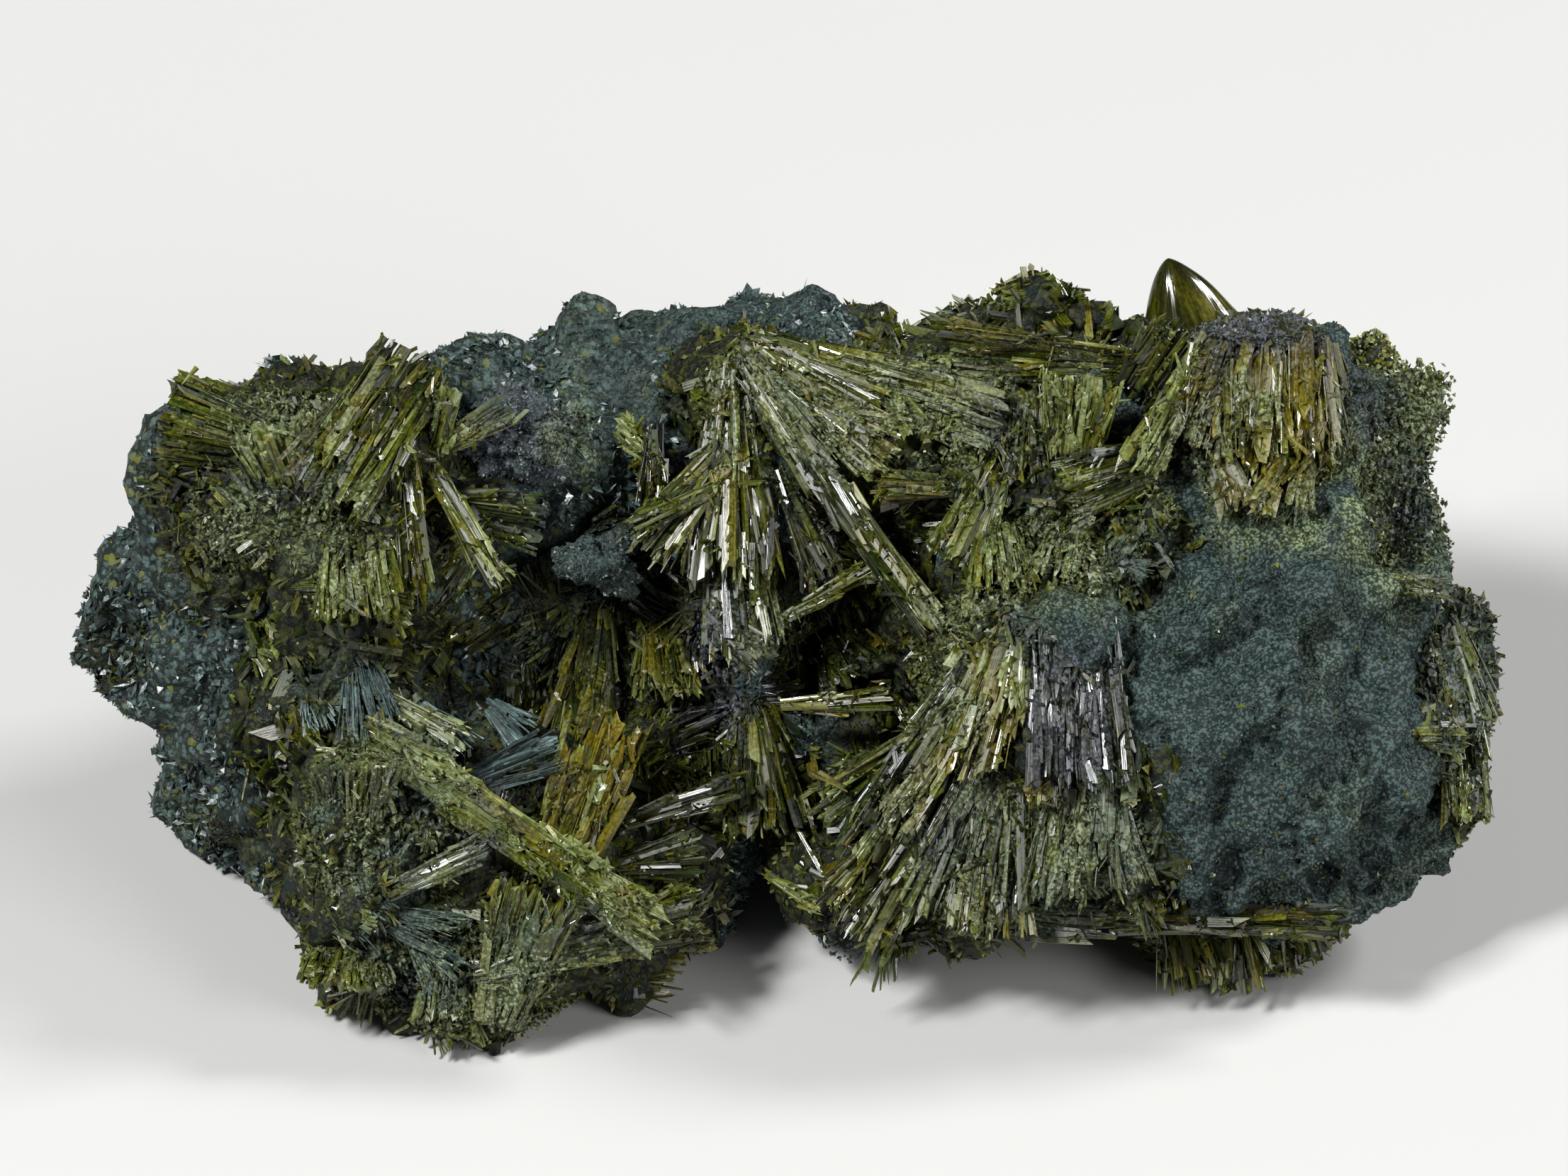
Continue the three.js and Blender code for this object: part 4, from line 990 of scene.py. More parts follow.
@dataclass(frozen=True)
class Grains:
    """Short broken crystals strewn over the surface, pointing any way out of it."""

    count: int
    length: float
    wide: float
    flat: float = 0.7
    tone: Tone = OLIVE
    lean: float = 1.2

    def prisms(self, ground: Ground, rng: Random) -> Prisms:
        """The grains: each is centred near a place of the ground and heads along its normal plus a random
        lean. Long ones lie only where the ground faces the viewer.

        Args:
            ground: where grains may lie.
            rng: the random numbers.

        Returns:
            The grains.
        """
        if self.length > LONG_GRAIN:
            ground = ground.towards_viewer()
        pick = rng.permutation(len(ground))[: self.count]
        n = len(pick)
        way = unit(ground.normals[pick] + self.lean * rng.normal(0, 1, (n, 3)))
        length = varied(rng, self.length, 0.3, n)[:, None]
        wide = varied(rng, self.wide, 0.35, n)
        mean, differ = self.tone.value
        return Prisms(
            ground.points[pick] - 0.45 * length * way, ground.points[pick] + 0.55 * length * way,
            unit(rng.normal(0, 1, (n, 3))), wide, wide * self.flat * rng.uniform(0.7, 1.2, n),
            mean + differ * rng.normal(0, 1, n), rng.normal(0, 0.5, n), share_of(rng, *WARMTH, n))


class Tree:
    """Adds nodes to one node tree and joins their sockets."""

    def __init__(self, tree: bpy.types.NodeTree) -> None:
        """Start from an empty tree."""
        self.tree = tree
        tree.nodes.clear()

    def feed(self, node: Node, inputs: dict[str | int, object]) -> Node:
        """Give a node's inputs their values, or join them to the sockets that they take their values from."""
        for key, value in inputs.items():
            if isinstance(value, Socket):
                self.tree.links.new(value, node.inputs[key])
            else:
                node.inputs[key].default_value = (*value, 1) if isinstance(value, tuple) else value
        return node

    def add(self, kind: str, inputs: dict[str | int, object] | None = None, **settings: object) -> Node:
        """Add a node.

        Args:
            kind: its type name, without "ShaderNode".
            inputs: a value or a socket to join for each of its inputs.
            settings: its own properties.

        Returns:
            The node.
        """
        node = self.tree.nodes.new("ShaderNode" + kind if not kind.startswith("Node") else kind)
        for key, value in settings.items():
            setattr(node, key, value)
        return self.feed(node, inputs or {})

    def maths(self, operation: str, a: object, b: object = 0.0, clamp: bool = False) -> Socket:
        """The result of one sum on two values or sockets."""
        return self.add("Math", {0: a, 1: b}, operation=operation, use_clamp=clamp).outputs[0]

    def blend(self, share: object, a: object, b: object, mode: str = "MIX") -> Socket:
        """A colour between two, by a share."""
        node = self.add("Mix", data_type="RGBA", blend_type=mode)
        return self.feed(node, {0: share, 6: a, 7: b}).outputs[2]

    def spread(self, value: object, low: float, high: float, to_low: float = 0.0,
               to_high: float = 1.0) -> Socket:
        """A value moved from one range to another and kept inside it."""
        return self.add("MapRange", {0: value, 1: low, 2: high, 3: to_low, 4: to_high}).outputs[0]

    def ramp(self, value: Socket, *stops: tuple[float, Colour]) -> Socket:
        """The colour that a value picks from a row of colours, each with its place from 0 to 1."""
        node = self.add("ValToRGB", {0: value})
        elements = node.color_ramp.elements
        while len(elements) < len(stops):
            elements.new(0.5)
        for element, (place, colour) in zip(elements, stops):
            element.position = place
            element.color = (*colour, 1)
        return node.outputs[0]

    def value(self, name: str) -> Socket:
        """A value kept at the mesh's points."""
        return self.add("Attribute", attribute_name=name).outputs["Fac"]

    def group(self, group: bpy.types.NodeTree, **values: float) -> bpy.types.bpy_prop_collection:
        """The outputs of a shared effect, placed with its own values."""
        return self.add("Group", values, node_tree=group).outputs


def effect(name: str, inputs: dict[str, float], outputs: tuple[str, ...]) -> tuple[Tree, Node]:
    """Start a shared effect: a node group with named sockets.

    Args:
        name: its name.
        inputs: its input values, by name.
        outputs: the names of its outputs, all single values.

    Returns:
        The group's tree and its input node.
    """
    group = bpy.data.node_groups.new(name, "ShaderNodeTree")
    for key, value in inputs.items():
        socket = group.interface.new_socket(name=key, in_out="INPUT", socket_type="NodeSocketFloat")
        socket.default_value = value
    for key in outputs:
        group.interface.new_socket(name=key, in_out="OUTPUT", socket_type="NodeSocketFloat")
    tree = Tree(group)
    return tree, tree.add("NodeGroupInput")


class Effects:
    """The effects that several finishes share, each built once."""

    @staticmethod
    @cache
    def speckle() -> bpy.types.NodeTree:
        """Fine grains with dark gaps: cells cut by their edges, over noise. Outputs Mask, Height and Tint."""
        tree, given = effect("speckle", {"Size": 0.1, "Gaps": 0.5}, ("Mask", "Height", "Tint"))
        place = tree.add("TexCoord").outputs["Object"]
        scale = tree.maths("DIVIDE", 1000.0, given.outputs["Size"])
        cells = tree.add("TexVoronoi", {"Vector": place, "Scale": scale}, feature="F1")
        coarser = tree.maths("MULTIPLY", scale, 0.6)
        noise = tree.add("TexNoise", {"Vector": place, "Scale": coarser, "Detail": 2.0})
        height = tree.maths("MULTIPLY", tree.spread(cells.outputs["Distance"], 0.0, 0.75, 1.0, 0.0), 0.5)
        rough = tree.maths("ADD", height, tree.maths("MULTIPLY", noise.outputs["Fac"], 0.9))
        edge = tree.maths("ADD", 0.45, tree.maths("MULTIPLY", given.outputs["Gaps"], 0.3))
        mask = tree.maths("MULTIPLY", tree.maths("SUBTRACT", rough, edge), 6.0, clamp=True)
        tint = tree.add("SeparateColor", {0: cells.outputs["Color"]}).outputs[0]
        tree.add("NodeGroupOutput", {"Mask": mask, "Height": rough, "Tint": tint})
        return tree.tree

    @staticmethod
    @cache
    def striation() -> bpy.types.NodeTree:
        """Fine lines along a crystal: noise squeezed across and stretched along its UV map. Output Height."""
        tree, given = effect("striation", {"Pitch": 0.03}, ("Height",))
        parts = tree.add("SeparateXYZ", {0: tree.add("UVMap", uv_map="UVMap").outputs[0]})
        across = tree.maths("DIVIDE", parts.outputs[0], given.outputs["Pitch"])
        place = tree.add("CombineXYZ", {0: across, 1: tree.maths("MULTIPLY", parts.outputs[1], 0.9)})
        noise = tree.add("TexNoise", {"Vector": place.outputs[0], "Scale": 1.0, "Detail": 2.0})
        tree.add("NodeGroupOutput", {"Height": noise.outputs["Fac"]})
        return tree.tree


class Finish:
    """A finish makes its material once, and every piece that wears it shares it."""

    name: str

    @cache
    def material(self) -> bpy.types.Material:
        """The material, built the first time it is asked for."""
        material = bpy.data.materials.new(self.name)
        material.use_nodes = True
        tree = Tree(material.node_tree)
        shader = tree.add("BsdfPrincipled")
        tree.add("OutputMaterial", {"Surface": shader.outputs[0]})
        tree.feed(shader, self.dress(tree))
        return material

    def dress(self, tree: Tree) -> dict[str, object]:
        """Add the nodes that make the look.

        Args:
            tree: the material's tree.

        Returns:
            The value of each of the shader's inputs, or the socket that it comes from.
        """
        raise NotImplementedError


CRUST_PALE: Colour = (0.165, 0.205, 0.105)
CRUST_DEEP: Colour = (0.036, 0.05, 0.012)
DUST_TEAL: Colour = (0.04, 0.066, 0.06)
# The dark of the chlorite dust; the host rock's pits are darkened to it too, as painted shade.
DUST_DARK_AND_PIT_SHADE: Colour = (0.006, 0.012, 0.011)
# The near-white that the lightest grains take: a painted glint of glossy flakes.
PAINTED_GLINT: Colour = (0.45, 0.5, 0.5)
VIOLET_GREY: Colour = (0.07, 0.08, 0.1)
VIOLET_DEEP: Colour = (0.012, 0.015, 0.021)


def with_coats(tree: Tree, colour: Socket, grains: bpy.types.bpy_prop_collection) -> tuple[Socket, Socket]:
    """Lay the coats over a colour: pale crust, then grey-violet film, then chlorite dust.

    Args:
        tree: the material's tree.
        colour: the colour below the coats.
        grains: the outputs of the speckle that the coats are made of.

    Returns:
        The coated colour, and how much coat there is.
    """
    height = tree.spread(grains["Height"], 0.3, 0.7)
    coats = []
    for name, deep, light in (("crust", CRUST_DEEP, CRUST_PALE), ("violet", VIOLET_DEEP, VIOLET_GREY),
                              ("dust", DUST_DARK_AND_PIT_SHADE, DUST_TEAL)):
        coats.append(tree.maths("MULTIPLY", tree.value(name), height, clamp=True))
        colour = tree.blend(coats[-1], colour, tree.blend(grains["Mask"], deep, light))
    thicker = tree.maths("MAXIMUM", coats[0], coats[1])
    return colour, tree.maths("MAXIMUM", thicker, coats[2])


@dataclass(frozen=True)
class Epidote(Finish):
    """Clear olive-green crystal, striated along, with crust, film and dust in places."""

    name: str = "epidote"
    deep: Colour = (0.001, 0.002, 0.0005)
    green: Colour = (0.006, 0.011, 0.001)
    olive: Colour = (0.0165, 0.0275, 0.001)
    bright: Colour = (0.066, 0.085, 0.0025)
    buff: Colour = (0.17, 0.205, 0.07)
    brown: Colour = (0.036, 0.027, 0.001)
    amber: Colour = (0.17, 0.125, 0.004)
    clear: float = 0.2
    rough: float = 0.07
    refraction: float = 1.74
    sheen: float = 0.28

    def dress(self, tree: Tree) -> dict[str, object]:
        """Colour by each crystal's shade and place along it, over mottling; gloss broken by the coats."""
        lines = tree.group(Effects.striation(), Pitch=0.06)["Height"]
        shade = tree.maths("ADD", tree.value("shade"), tree.spread(tree.value("along"), 0, 1, -0.12, 0.12))
        shade = tree.maths("ADD", shade, tree.spread(lines, 0.3, 0.7, -0.18, 0.18))
        green = tree.ramp(shade, (0, self.deep), (0.28, self.green), (0.52, self.olive), (0.78, self.bright),
                          (1, self.buff))
        brown = tree.ramp(shade, (0, self.deep), (0.4, self.brown), (0.8, self.amber), (1, self.buff))
        grains = tree.group(Effects.speckle(), Size=0.11, Gaps=0.4)
        colour, coat = with_coats(tree, tree.blend(tree.value("warm"), green, brown), grains)
        colour = tree.blend(0.45, colour, tree.spread(grains["Height"], 0.35, 0.75, 0.1, 1.6), "MULTIPLY")
        gloss = tree.spread(lines, 0.3, 0.7, self.rough, self.rough + 0.13)
        gloss = tree.maths("ADD", gloss, tree.maths("MULTIPLY", tree.value("dull"), 0.35))
        gloss = tree.maths("ADD", gloss, tree.maths("MULTIPLY", coat, 0.45))
        bump = tree.add("Bump", {"Height": lines, "Strength": 0.45, "Distance": 0.00003})
        return {"Base Color": colour, "Roughness": gloss, "Normal": bump.outputs[0], "IOR": self.refraction,
                "Specular IOR Level": self.sheen, "Transmission Weight": self.clear}


@dataclass(frozen=True)
class Rock(Finish):
    """Grey-green chlorite and actinolite rock: flaky blue-grey, dusty teal or olive where epidote grows."""

    name: str = "host_rock"
    flake_dark: Colour = (0.007, 0.012, 0.01)
    flake_light: Colour = (0.08, 0.122, 0.115)
    speck: Colour = (0.11, 0.11, 0.015)
    # Olive where crystals grow, kept very dark: partly the olive below them, partly painted shade in the gaps
    # between them.
    olive_dark: Colour = (0.002, 0.003, 0.001)
    olive_light: Colour = (0.035, 0.04, 0.006)
    sheen: float = 0.22

    def dress(self, tree: Tree) -> dict[str, object]:
        """Colour by what the mass carries there, broken into grains with dark gaps."""
        grain = tree.group(Effects.speckle(), Size=0.22, Gaps=0.3)
        fine = tree.group(Effects.speckle(), Size=0.1, Gaps=0.4)
        tint = tree.maths("MULTIPLY", grain["Tint"], grain["Mask"])
        flaky = tree.blend(tint, self.flake_dark, self.flake_light)
        flaky = tree.blend(tree.spread(grain["Tint"], 0.9, 0.94, 0, 0.8), flaky, self.speck)
        dusty = tree.blend(fine["Mask"], DUST_DARK_AND_PIT_SHADE, DUST_TEAL)
        # Where crystals grow: olive darkened as painted shade in the gaps between them.
        olive = tree.blend(tint, self.olive_dark, self.olive_light)
        colour = tree.blend(tree.value("epidote"), tree.blend(tree.value("dusty"), flaky, dusty), olive)
        # Pits are darkened towards the dark dust colour: painted shade in the pits.
        colour, _ = with_coats(tree, tree.blend(tree.value("pit"), colour, DUST_DARK_AND_PIT_SHADE), fine)
        relief = tree.maths("ADD", grain["Height"], tree.maths("MULTIPLY", fine["Height"], 0.6))
        bump = tree.add("Bump", {"Height": relief, "Strength": 0.8, "Distance": 0.0001})
        return {"Base Color": colour, "Roughness": tree.spread(grain["Tint"], 0, 1, 0.45, 0.9),
                "Normal": bump.outputs[0], "Specular IOR Level": self.sheen}


@dataclass(frozen=True)
class Powder(Finish):
    """Grains of chlorite dust, or of the flaky rock: dull, each with its own shade."""

    name: str
    dark: Colour
    light: Colour
    rough: tuple[float, float] = (0.6, 0.95)
    sheen: float = 0.35

    def dress(self, tree: Tree) -> dict[str, object]:
        """Colour by each grain's shade over fine speckle, below the coats."""
        fine = tree.group(Effects.speckle(), Size=0.08, Gaps=0.35)
        # The lightest grains turn near-white: painted glint.
        colour = tree.ramp(tree.value("shade"), (0, self.dark), (0.85, self.light), (1, PAINTED_GLINT))
        colour = tree.blend(tree.spread(fine["Mask"], 0, 1, 0.55, 0.0), colour, self.dark)
        return {"Base Color": with_coats(tree, colour, fine)[0],
                "Roughness": tree.spread(fine["Tint"], 0, 1, *self.rough), "Specular IOR Level": self.sheen}


EPIDOTE = Epidote()
# A little darker than EPIDOTE, worn by the hollow's lining: painted shade of the hollow.
HOLLOW_SHADE_EPIDOTE = Epidote("dark_epidote", (0.001, 0.002, 0.0005), (0.005, 0.009, 0.001), (0.018, 0.027, 0.002),
                       (0.06, 0.075, 0.006), (0.16, 0.18, 0.06))
CLEAR_EPIDOTE = Epidote("clear_epidote", clear=0.3)
HOST_ROCK = Rock()
FLAKES = Powder("rock_flakes", (0.007, 0.013, 0.012), (0.085, 0.135, 0.13), (0.2, 0.6))
DUST = Powder("chlorite_dust", (0.005, 0.01, 0.009), (0.05, 0.08, 0.072))
FIBRES = Epidote("actinolite_fibres", (0.001, 0.003, 0.003), (0.006, 0.013, 0.013), (0.027, 0.05, 0.047),
                 (0.068, 0.112, 0.107), (0.2, 0.27, 0.26), (0.015, 0.027, 0.025), (0.05, 0.08, 0.07),
                 clear=0.0, rough=0.4)
SUGAR = Powder("pale_crust", (0.03, 0.037, 0.008), (0.2, 0.22, 0.1), (0.3, 0.7))
CLUMP = Powder("chlorite_clump", (0.008, 0.013, 0.013), (0.075, 0.095, 0.1))


@dataclass(frozen=True)
class HostRock:
    """The rock of the mass, in bodies that meet in flat caps inside it; washed is the share of the coats that
    is missing where crystals grow."""

    cuts: tuple[float, ...] = (-21.0, -9.2, 8.6, 21.1)
    step: float = 0.13
    face_steps: int = 230
    rear_steps: int = 130
    end_gap: float = 0.01
    washed: float = 0.55

    def build(self) -> None:
        """Make each body and dress it."""
        names = ("rock_left", "rock_middle", "rock_right")
        for name, low, high in zip(names, self.cuts[:-1], self.cuts[1:]):
            nodes = ("matrix_rock",) if name == "rock_middle" else ()
            self.body(low, high).piece(name, HOST_ROCK, "host_rock", nodes, soft=True)

    def body(self, low: float, high: float) -> Shell:
        """A closed body between two places across. Rings of points, the face from the lower edge up and the
        rear back down, are carried from one place to the other, pushed out along the surface's own direction
        by noise, and closed at each end by a fan about the ring's middle. Where crystals grow, its coats are
        thinner.

        Args:
            low: the left end, across.
            high: the right end, across.

        Returns:
            The body.
        """
        stations = int((high - low) / self.step)
        across = np.linspace(low, high, stations)
        across[0] = max(low, MASS.left + self.end_gap)
        across[-1] = min(high, MASS.right - self.end_gap)
        face = -np.cos(np.pi * np.arange(self.face_steps) / self.face_steps)
        rear = np.cos(np.pi * np.arange(self.rear_steps) / self.rear_steps)
        share = np.concatenate([face, rear])
        around = len(share)
        behind = np.arange(around) >= self.face_steps
        points = MASS.surface(across.repeat(around), np.tile(share, stations), np.tile(behind, stations))
        grid = points.reshape(stations, around, 3)
        along = np.gradient(grid, axis=0)
        turned = np.roll(grid, -1, 1) - np.roll(grid, 1, 1)
        normals = unit(np.cross(along, turned)).reshape(-1, 3)
        rough, pit = self.roughness(points)
        points = points + normals * rough[:, None]
        points[:, 2] = np.maximum(points[:, 2], 0.0)
        i, k = np.meshgrid(np.arange(stations - 1), np.arange(around), indexing="ij")
        here, after = i * around + k, i * around + (k + 1) % around
        ring = np.arange(around)
        following, final = (ring + 1) % around, (stations - 1) * around
        faces = np.concatenate([
            quads(here, here + around, after + around, after), spokes(len(points), ring, following),
            spokes(len(points) + 1, final + following, final + ring)])
        points = np.concatenate([points, [points[:around].mean(0)], [points[-around:].mean(0)]])
        places = to_picture(points)
        shell = Shell(points, faces, {
            "epidote": self.epidote(points, places), "dusty": self.dusty(places),
            "pit": np.concatenate([pit, [0, 0]])}).coated()
        bare = shell.values["epidote"] * (1 - smooth(-0.1, 0.1, Zone.PLATE.covers(places)))
        for coat in Coat:
            shell.values[coat.name.lower()] *= 1 - self.washed * bare
        return shell

    @staticmethod
    def roughness(points: Array) -> tuple[Array, Array]:
        """How far the surface stands out: noise at several scales, less pits where two finer noises run high.

        Args:
            points: N x 3 points.

        Returns:
            N heights in millimetres, and how deep in a pit each point is, from 0 to 1.
        """
        dusty, low = smooth(8, 11, points[:, 0]), smooth(8, 4, points[:, 2])
        rough = (0.22 - 0.13 * dusty) * fractal(points, 1.5, 11, 5)
        rough += 0.14 * dusty * fractal(points, 0.5, 13, 3)
        wide = smooth(0.3, 0.65, fractal(points, 1.6, 31, 2)) * (1 - 0.85 * dusty * (1 - low))
        fine = smooth(0.22, 0.55, lattice_noise(points, 0.3, 37))
        fine *= smooth(-0.5, 0.3, lattice_noise(points, 1.7, 39))
        rough -= 0.45 * wide + fine * (0.1 + 0.17 * dusty)
        return rough, np.maximum(wide, fine)

    @staticmethod
    def epidote(points: Array, places: Array) -> Array:
        """Where crystals grow on the mass, from 0 to 1, with a ragged edge."""
        inside = Zone.any_covers(places)
        grown = smooth(-0.04, 0.05, inside + 0.1 * fractal(points, 1.6, 5, 3))
        return np.maximum(grown, 0.8 * HostRock.tufted(points, places))

    @staticmethod
    def tufted(points: Array, places: Array) -> Array:
        """Where small epidote tufts stand on the bare rock, from 0 to 1: behind and on the far left."""
        away = np.maximum(smooth(-3, -4.5, places[:, 2]), smooth(-13, -16, places[:, 0]))
        return away * smooth(0.2, 0.4, fractal(points, 2.4, 15, 2))

    @staticmethod
    def dusty(places: Array) -> Array:
        """Where the rock is dusty teal and not flaky blue-grey: towards the right."""
        return smooth(-11, 3, places[:, 0])


@dataclass(frozen=True)
class RockSkin:
    """What lies on the bare rock: flakes on the left lobe and the ridge, dust on the right lobe, specks on
    both, and small tufts of epidote behind and on the far left."""

    flakes: Grains = Grains(15000, 0.3, 0.24, 0.35, MIXED, 3.0)
    splinters: Grains = Grains(900, 0.45, 0.08, 0.7, PALE, 3.0)
    specks: Grains = Grains(1600, 0.2, 0.14, 0.8, BRIGHT, 3.0)
    tufts: Grains = Grains(3000, 0.32, 0.17, 0.8, OLIVE, 1.6)
    dust: Grains = Grains(15000, 0.11, 0.1, 0.9, OLIVE, 2.0)

    def build(self, ground: Ground, rng: Random) -> None:
        """Strew the flakes, the dust, the specks and the tufts, and dress them.

        Args:
            ground: the places of the bare rock.
            rng: the random numbers.
        """
        left = ground.where(ground.places[:, 0] < 3 + 4 * lattice_noise(ground.points, 2.0, 3))
        right = ground.where(ground.places[:, 0] > 0)
        both = Prisms.joined([self.flakes.prisms(left, rng), self.splinters.prisms(left, rng)]).above_floor()
        both.gems().piece("rock_flakes", FLAKES, "host_rock")
        self.dust.prisms(right, rng).above_floor().gems().piece("dust_grains", DUST, "chlorite_dust")
        green = ground.where(HostRock.tufted(ground.points, ground.places) > 0.3)
        grown = Prisms.joined([self.specks.prisms(ground, rng), self.tufts.prisms(green, rng)])
        grown.above_floor().gems().piece("epidote_specks", EPIDOTE, "epidote")


@dataclass(frozen=True)
class SheafPiece:
    """One body of crystal: its sheaves, and what grows at random on its zone."""

    name: str
    nodes: tuple[str, ...]
    zone: Zone
    sheaves: tuple[Sheaf, ...]
    scatter: tuple[Sprays | Grains, ...] = ()
    finish: Finish = EPIDOTE
    slot: str = "epidote"
    sugar: int = 2000

    def build(self, ground: Ground, rng: Random) -> None:
        """Grow the crystals and dress them: sheaves, small fans between them and grains stuck to them.

        Args:
            ground: places all over the mass.
            rng: the random numbers.
        """
        inside = self.zone.covers(ground.places)
        own = ground.where(inside + 0.12 * fractal(ground.points, 1.6, 5, 3) > 0)
        small = Prisms.joined([layer.prisms(own, rng) for layer in self.scatter]).above_floor()
        if self.sheaves:
            grown = [sheaf.prisms(rng) for sheaf in self.sheaves]
            blades, fine = (Prisms.joined([pair[k] for pair in grown]).above_floor() for k in (0, 1))
            chips = blades.chips(self.sugar // 3, rng)
            cores = [sheaf.core(rng) for sheaf in self.sheaves]
            large = Shell.joined([*cores, blades.blades(rng), fine.needles(rng), chips.needles(rng)])
            large.piece(self.name, self.finish, self.slot, self.nodes)
            small.needles(rng).piece(self.name + "_between", self.finish, self.slot)
            blades.sugar(self.sugar, rng).gems().piece(self.name + "_crust", SUGAR, self.slot)
        else:
            small.gems().piece(self.name, self.finish, self.slot, self.nodes)


LEFT_SHEAVES = (
    Sheaf((-10.9, 20, 2.2), (-13.6, 15.9, 4.2), 2.4, 1.2, 6, OLIVE, 0.2),
    Sheaf((-11.6, 18.6, 2.4), (-11.3, 12.6, 3), 1.3, 0.8, 12, OLIVE),
    Sheaf((-14.2, 16, 2), (-15, 18.4, 3.4), 1.4, 1, 26, PALE, 0.18),
    Sheaf((-14.8, 17.6, 0.6), (-18.2, 18.6, 0.6), 1.6, 1.4, 20, OLIVE),
    Sheaf((-10.5, 17.3, 1.6), (-7.8, 18.9, 3), 0.45, 0.5, 8, PALE, 0.12),
    Sheaf((-10.2, 17.4, 1.8), (-9.7, 19.4, 3), 0.5, 0.5, 10, BRIGHT, 0.13),
    Sheaf((-10.4, 17.2, 1.9), (-8.1, 13.4, 2.7), 0.6, 0.5, 2, BRIGHT, 0.16),
    Sheaf((-12.6, 15.4, 2.6), (-12.4, 12.4, 4.4), 1.8, 0.9, 16, BRIGHT, 0.2),
    Sheaf((-10.7, 16, 1), (-6.9, 15.3, 1), 0.8, 0.5, 18, DARK),
    Sheaf((-8.6, 15.4, 1), (-10.8, 12.8, 2), 0.8, 0.5, 14, OLIVE),
    Sheaf((-12.6, 13.4, 3.1), (-10.7, 12.9, 3.1), 0.8, 0.5, 10, BRIGHT),
    Sheaf((-11.9, 9, 2.8), (-3.3, 3.2, 3.2), 1.35, 0.7, 0, PALE, 0.26, broken=5, ragged=0.1),
    Sheaf((-7.8, 6.3, 2.2), (-3.2, 3.8, 2.8), 0.5, 0.6, 0, OLIVE, 0.2, ragged=0.1),
    Sheaf((-11.4, 4.5, 2.8), (-8.5, 5.9, 3.4), 0.6, 0.6, 4, BRIGHT, 0.16),
    Sheaf((-6.7, 4.8, 1.2), (-4.9, 10, 1.8), 1.4, 0.6, 16, BRIGHT, 0.22, ragged=0.4, warm=0.6),
    Sheaf((-8.3, 0.8, 1.6), (-7, 4.7, 3.4), 1.5, 0.7, 14, BRIGHT, 0.2),
    Sheaf((-8.8, 2.1, 2.4), (-4.8, 3.2, 2.4), 0.8, 0.5, 12, OLIVE),
    Sheaf((-5.6, 3, 1), (-2, 3.9, 0.9), 0.9, 0.6, 20, OLIVE),
    Sheaf((-4.8, 5.2, 0.4), (-2.1, 5.6, 0.5), 0.5, 0.5, 24, DARK),
    Sheaf((-5.6, 6.2, 0.4), (-1.2, 7.6, 1.4), 0.5, 0.5, 4, DARK, 0.2, ragged=0.12),
    Sheaf((-12, 10.4, 2), (-9.2, 8.7, 3), 0.5, 0.5, 12, PALE, 0.13),
    Sheaf((-12.2, 9.4, 3), (-9.7, 8.1, 3.2), 0.5, 0.4, 6, PALE, 0.13),
    Sheaf((-12.6, 6.1, 2.2), (-12.6, 8.4, 4.2), 1.4, 0.8, 24, BRIGHT),
    Sheaf((-14.4, 6.5, 1), (-12.8, 4.5, 2.6), 0.5, 0.4, 8, OLIVE),
    Sheaf((-12.8, 3, 0.4), (-12.9, 1.6, 2.4), 1.8, 0.7, 30, BRIGHT),
    Sheaf((-9.4, 2.8, 1), (-9.2, 0.6, 1.6), 1.8, 0.8, 36, BRIGHT),
)
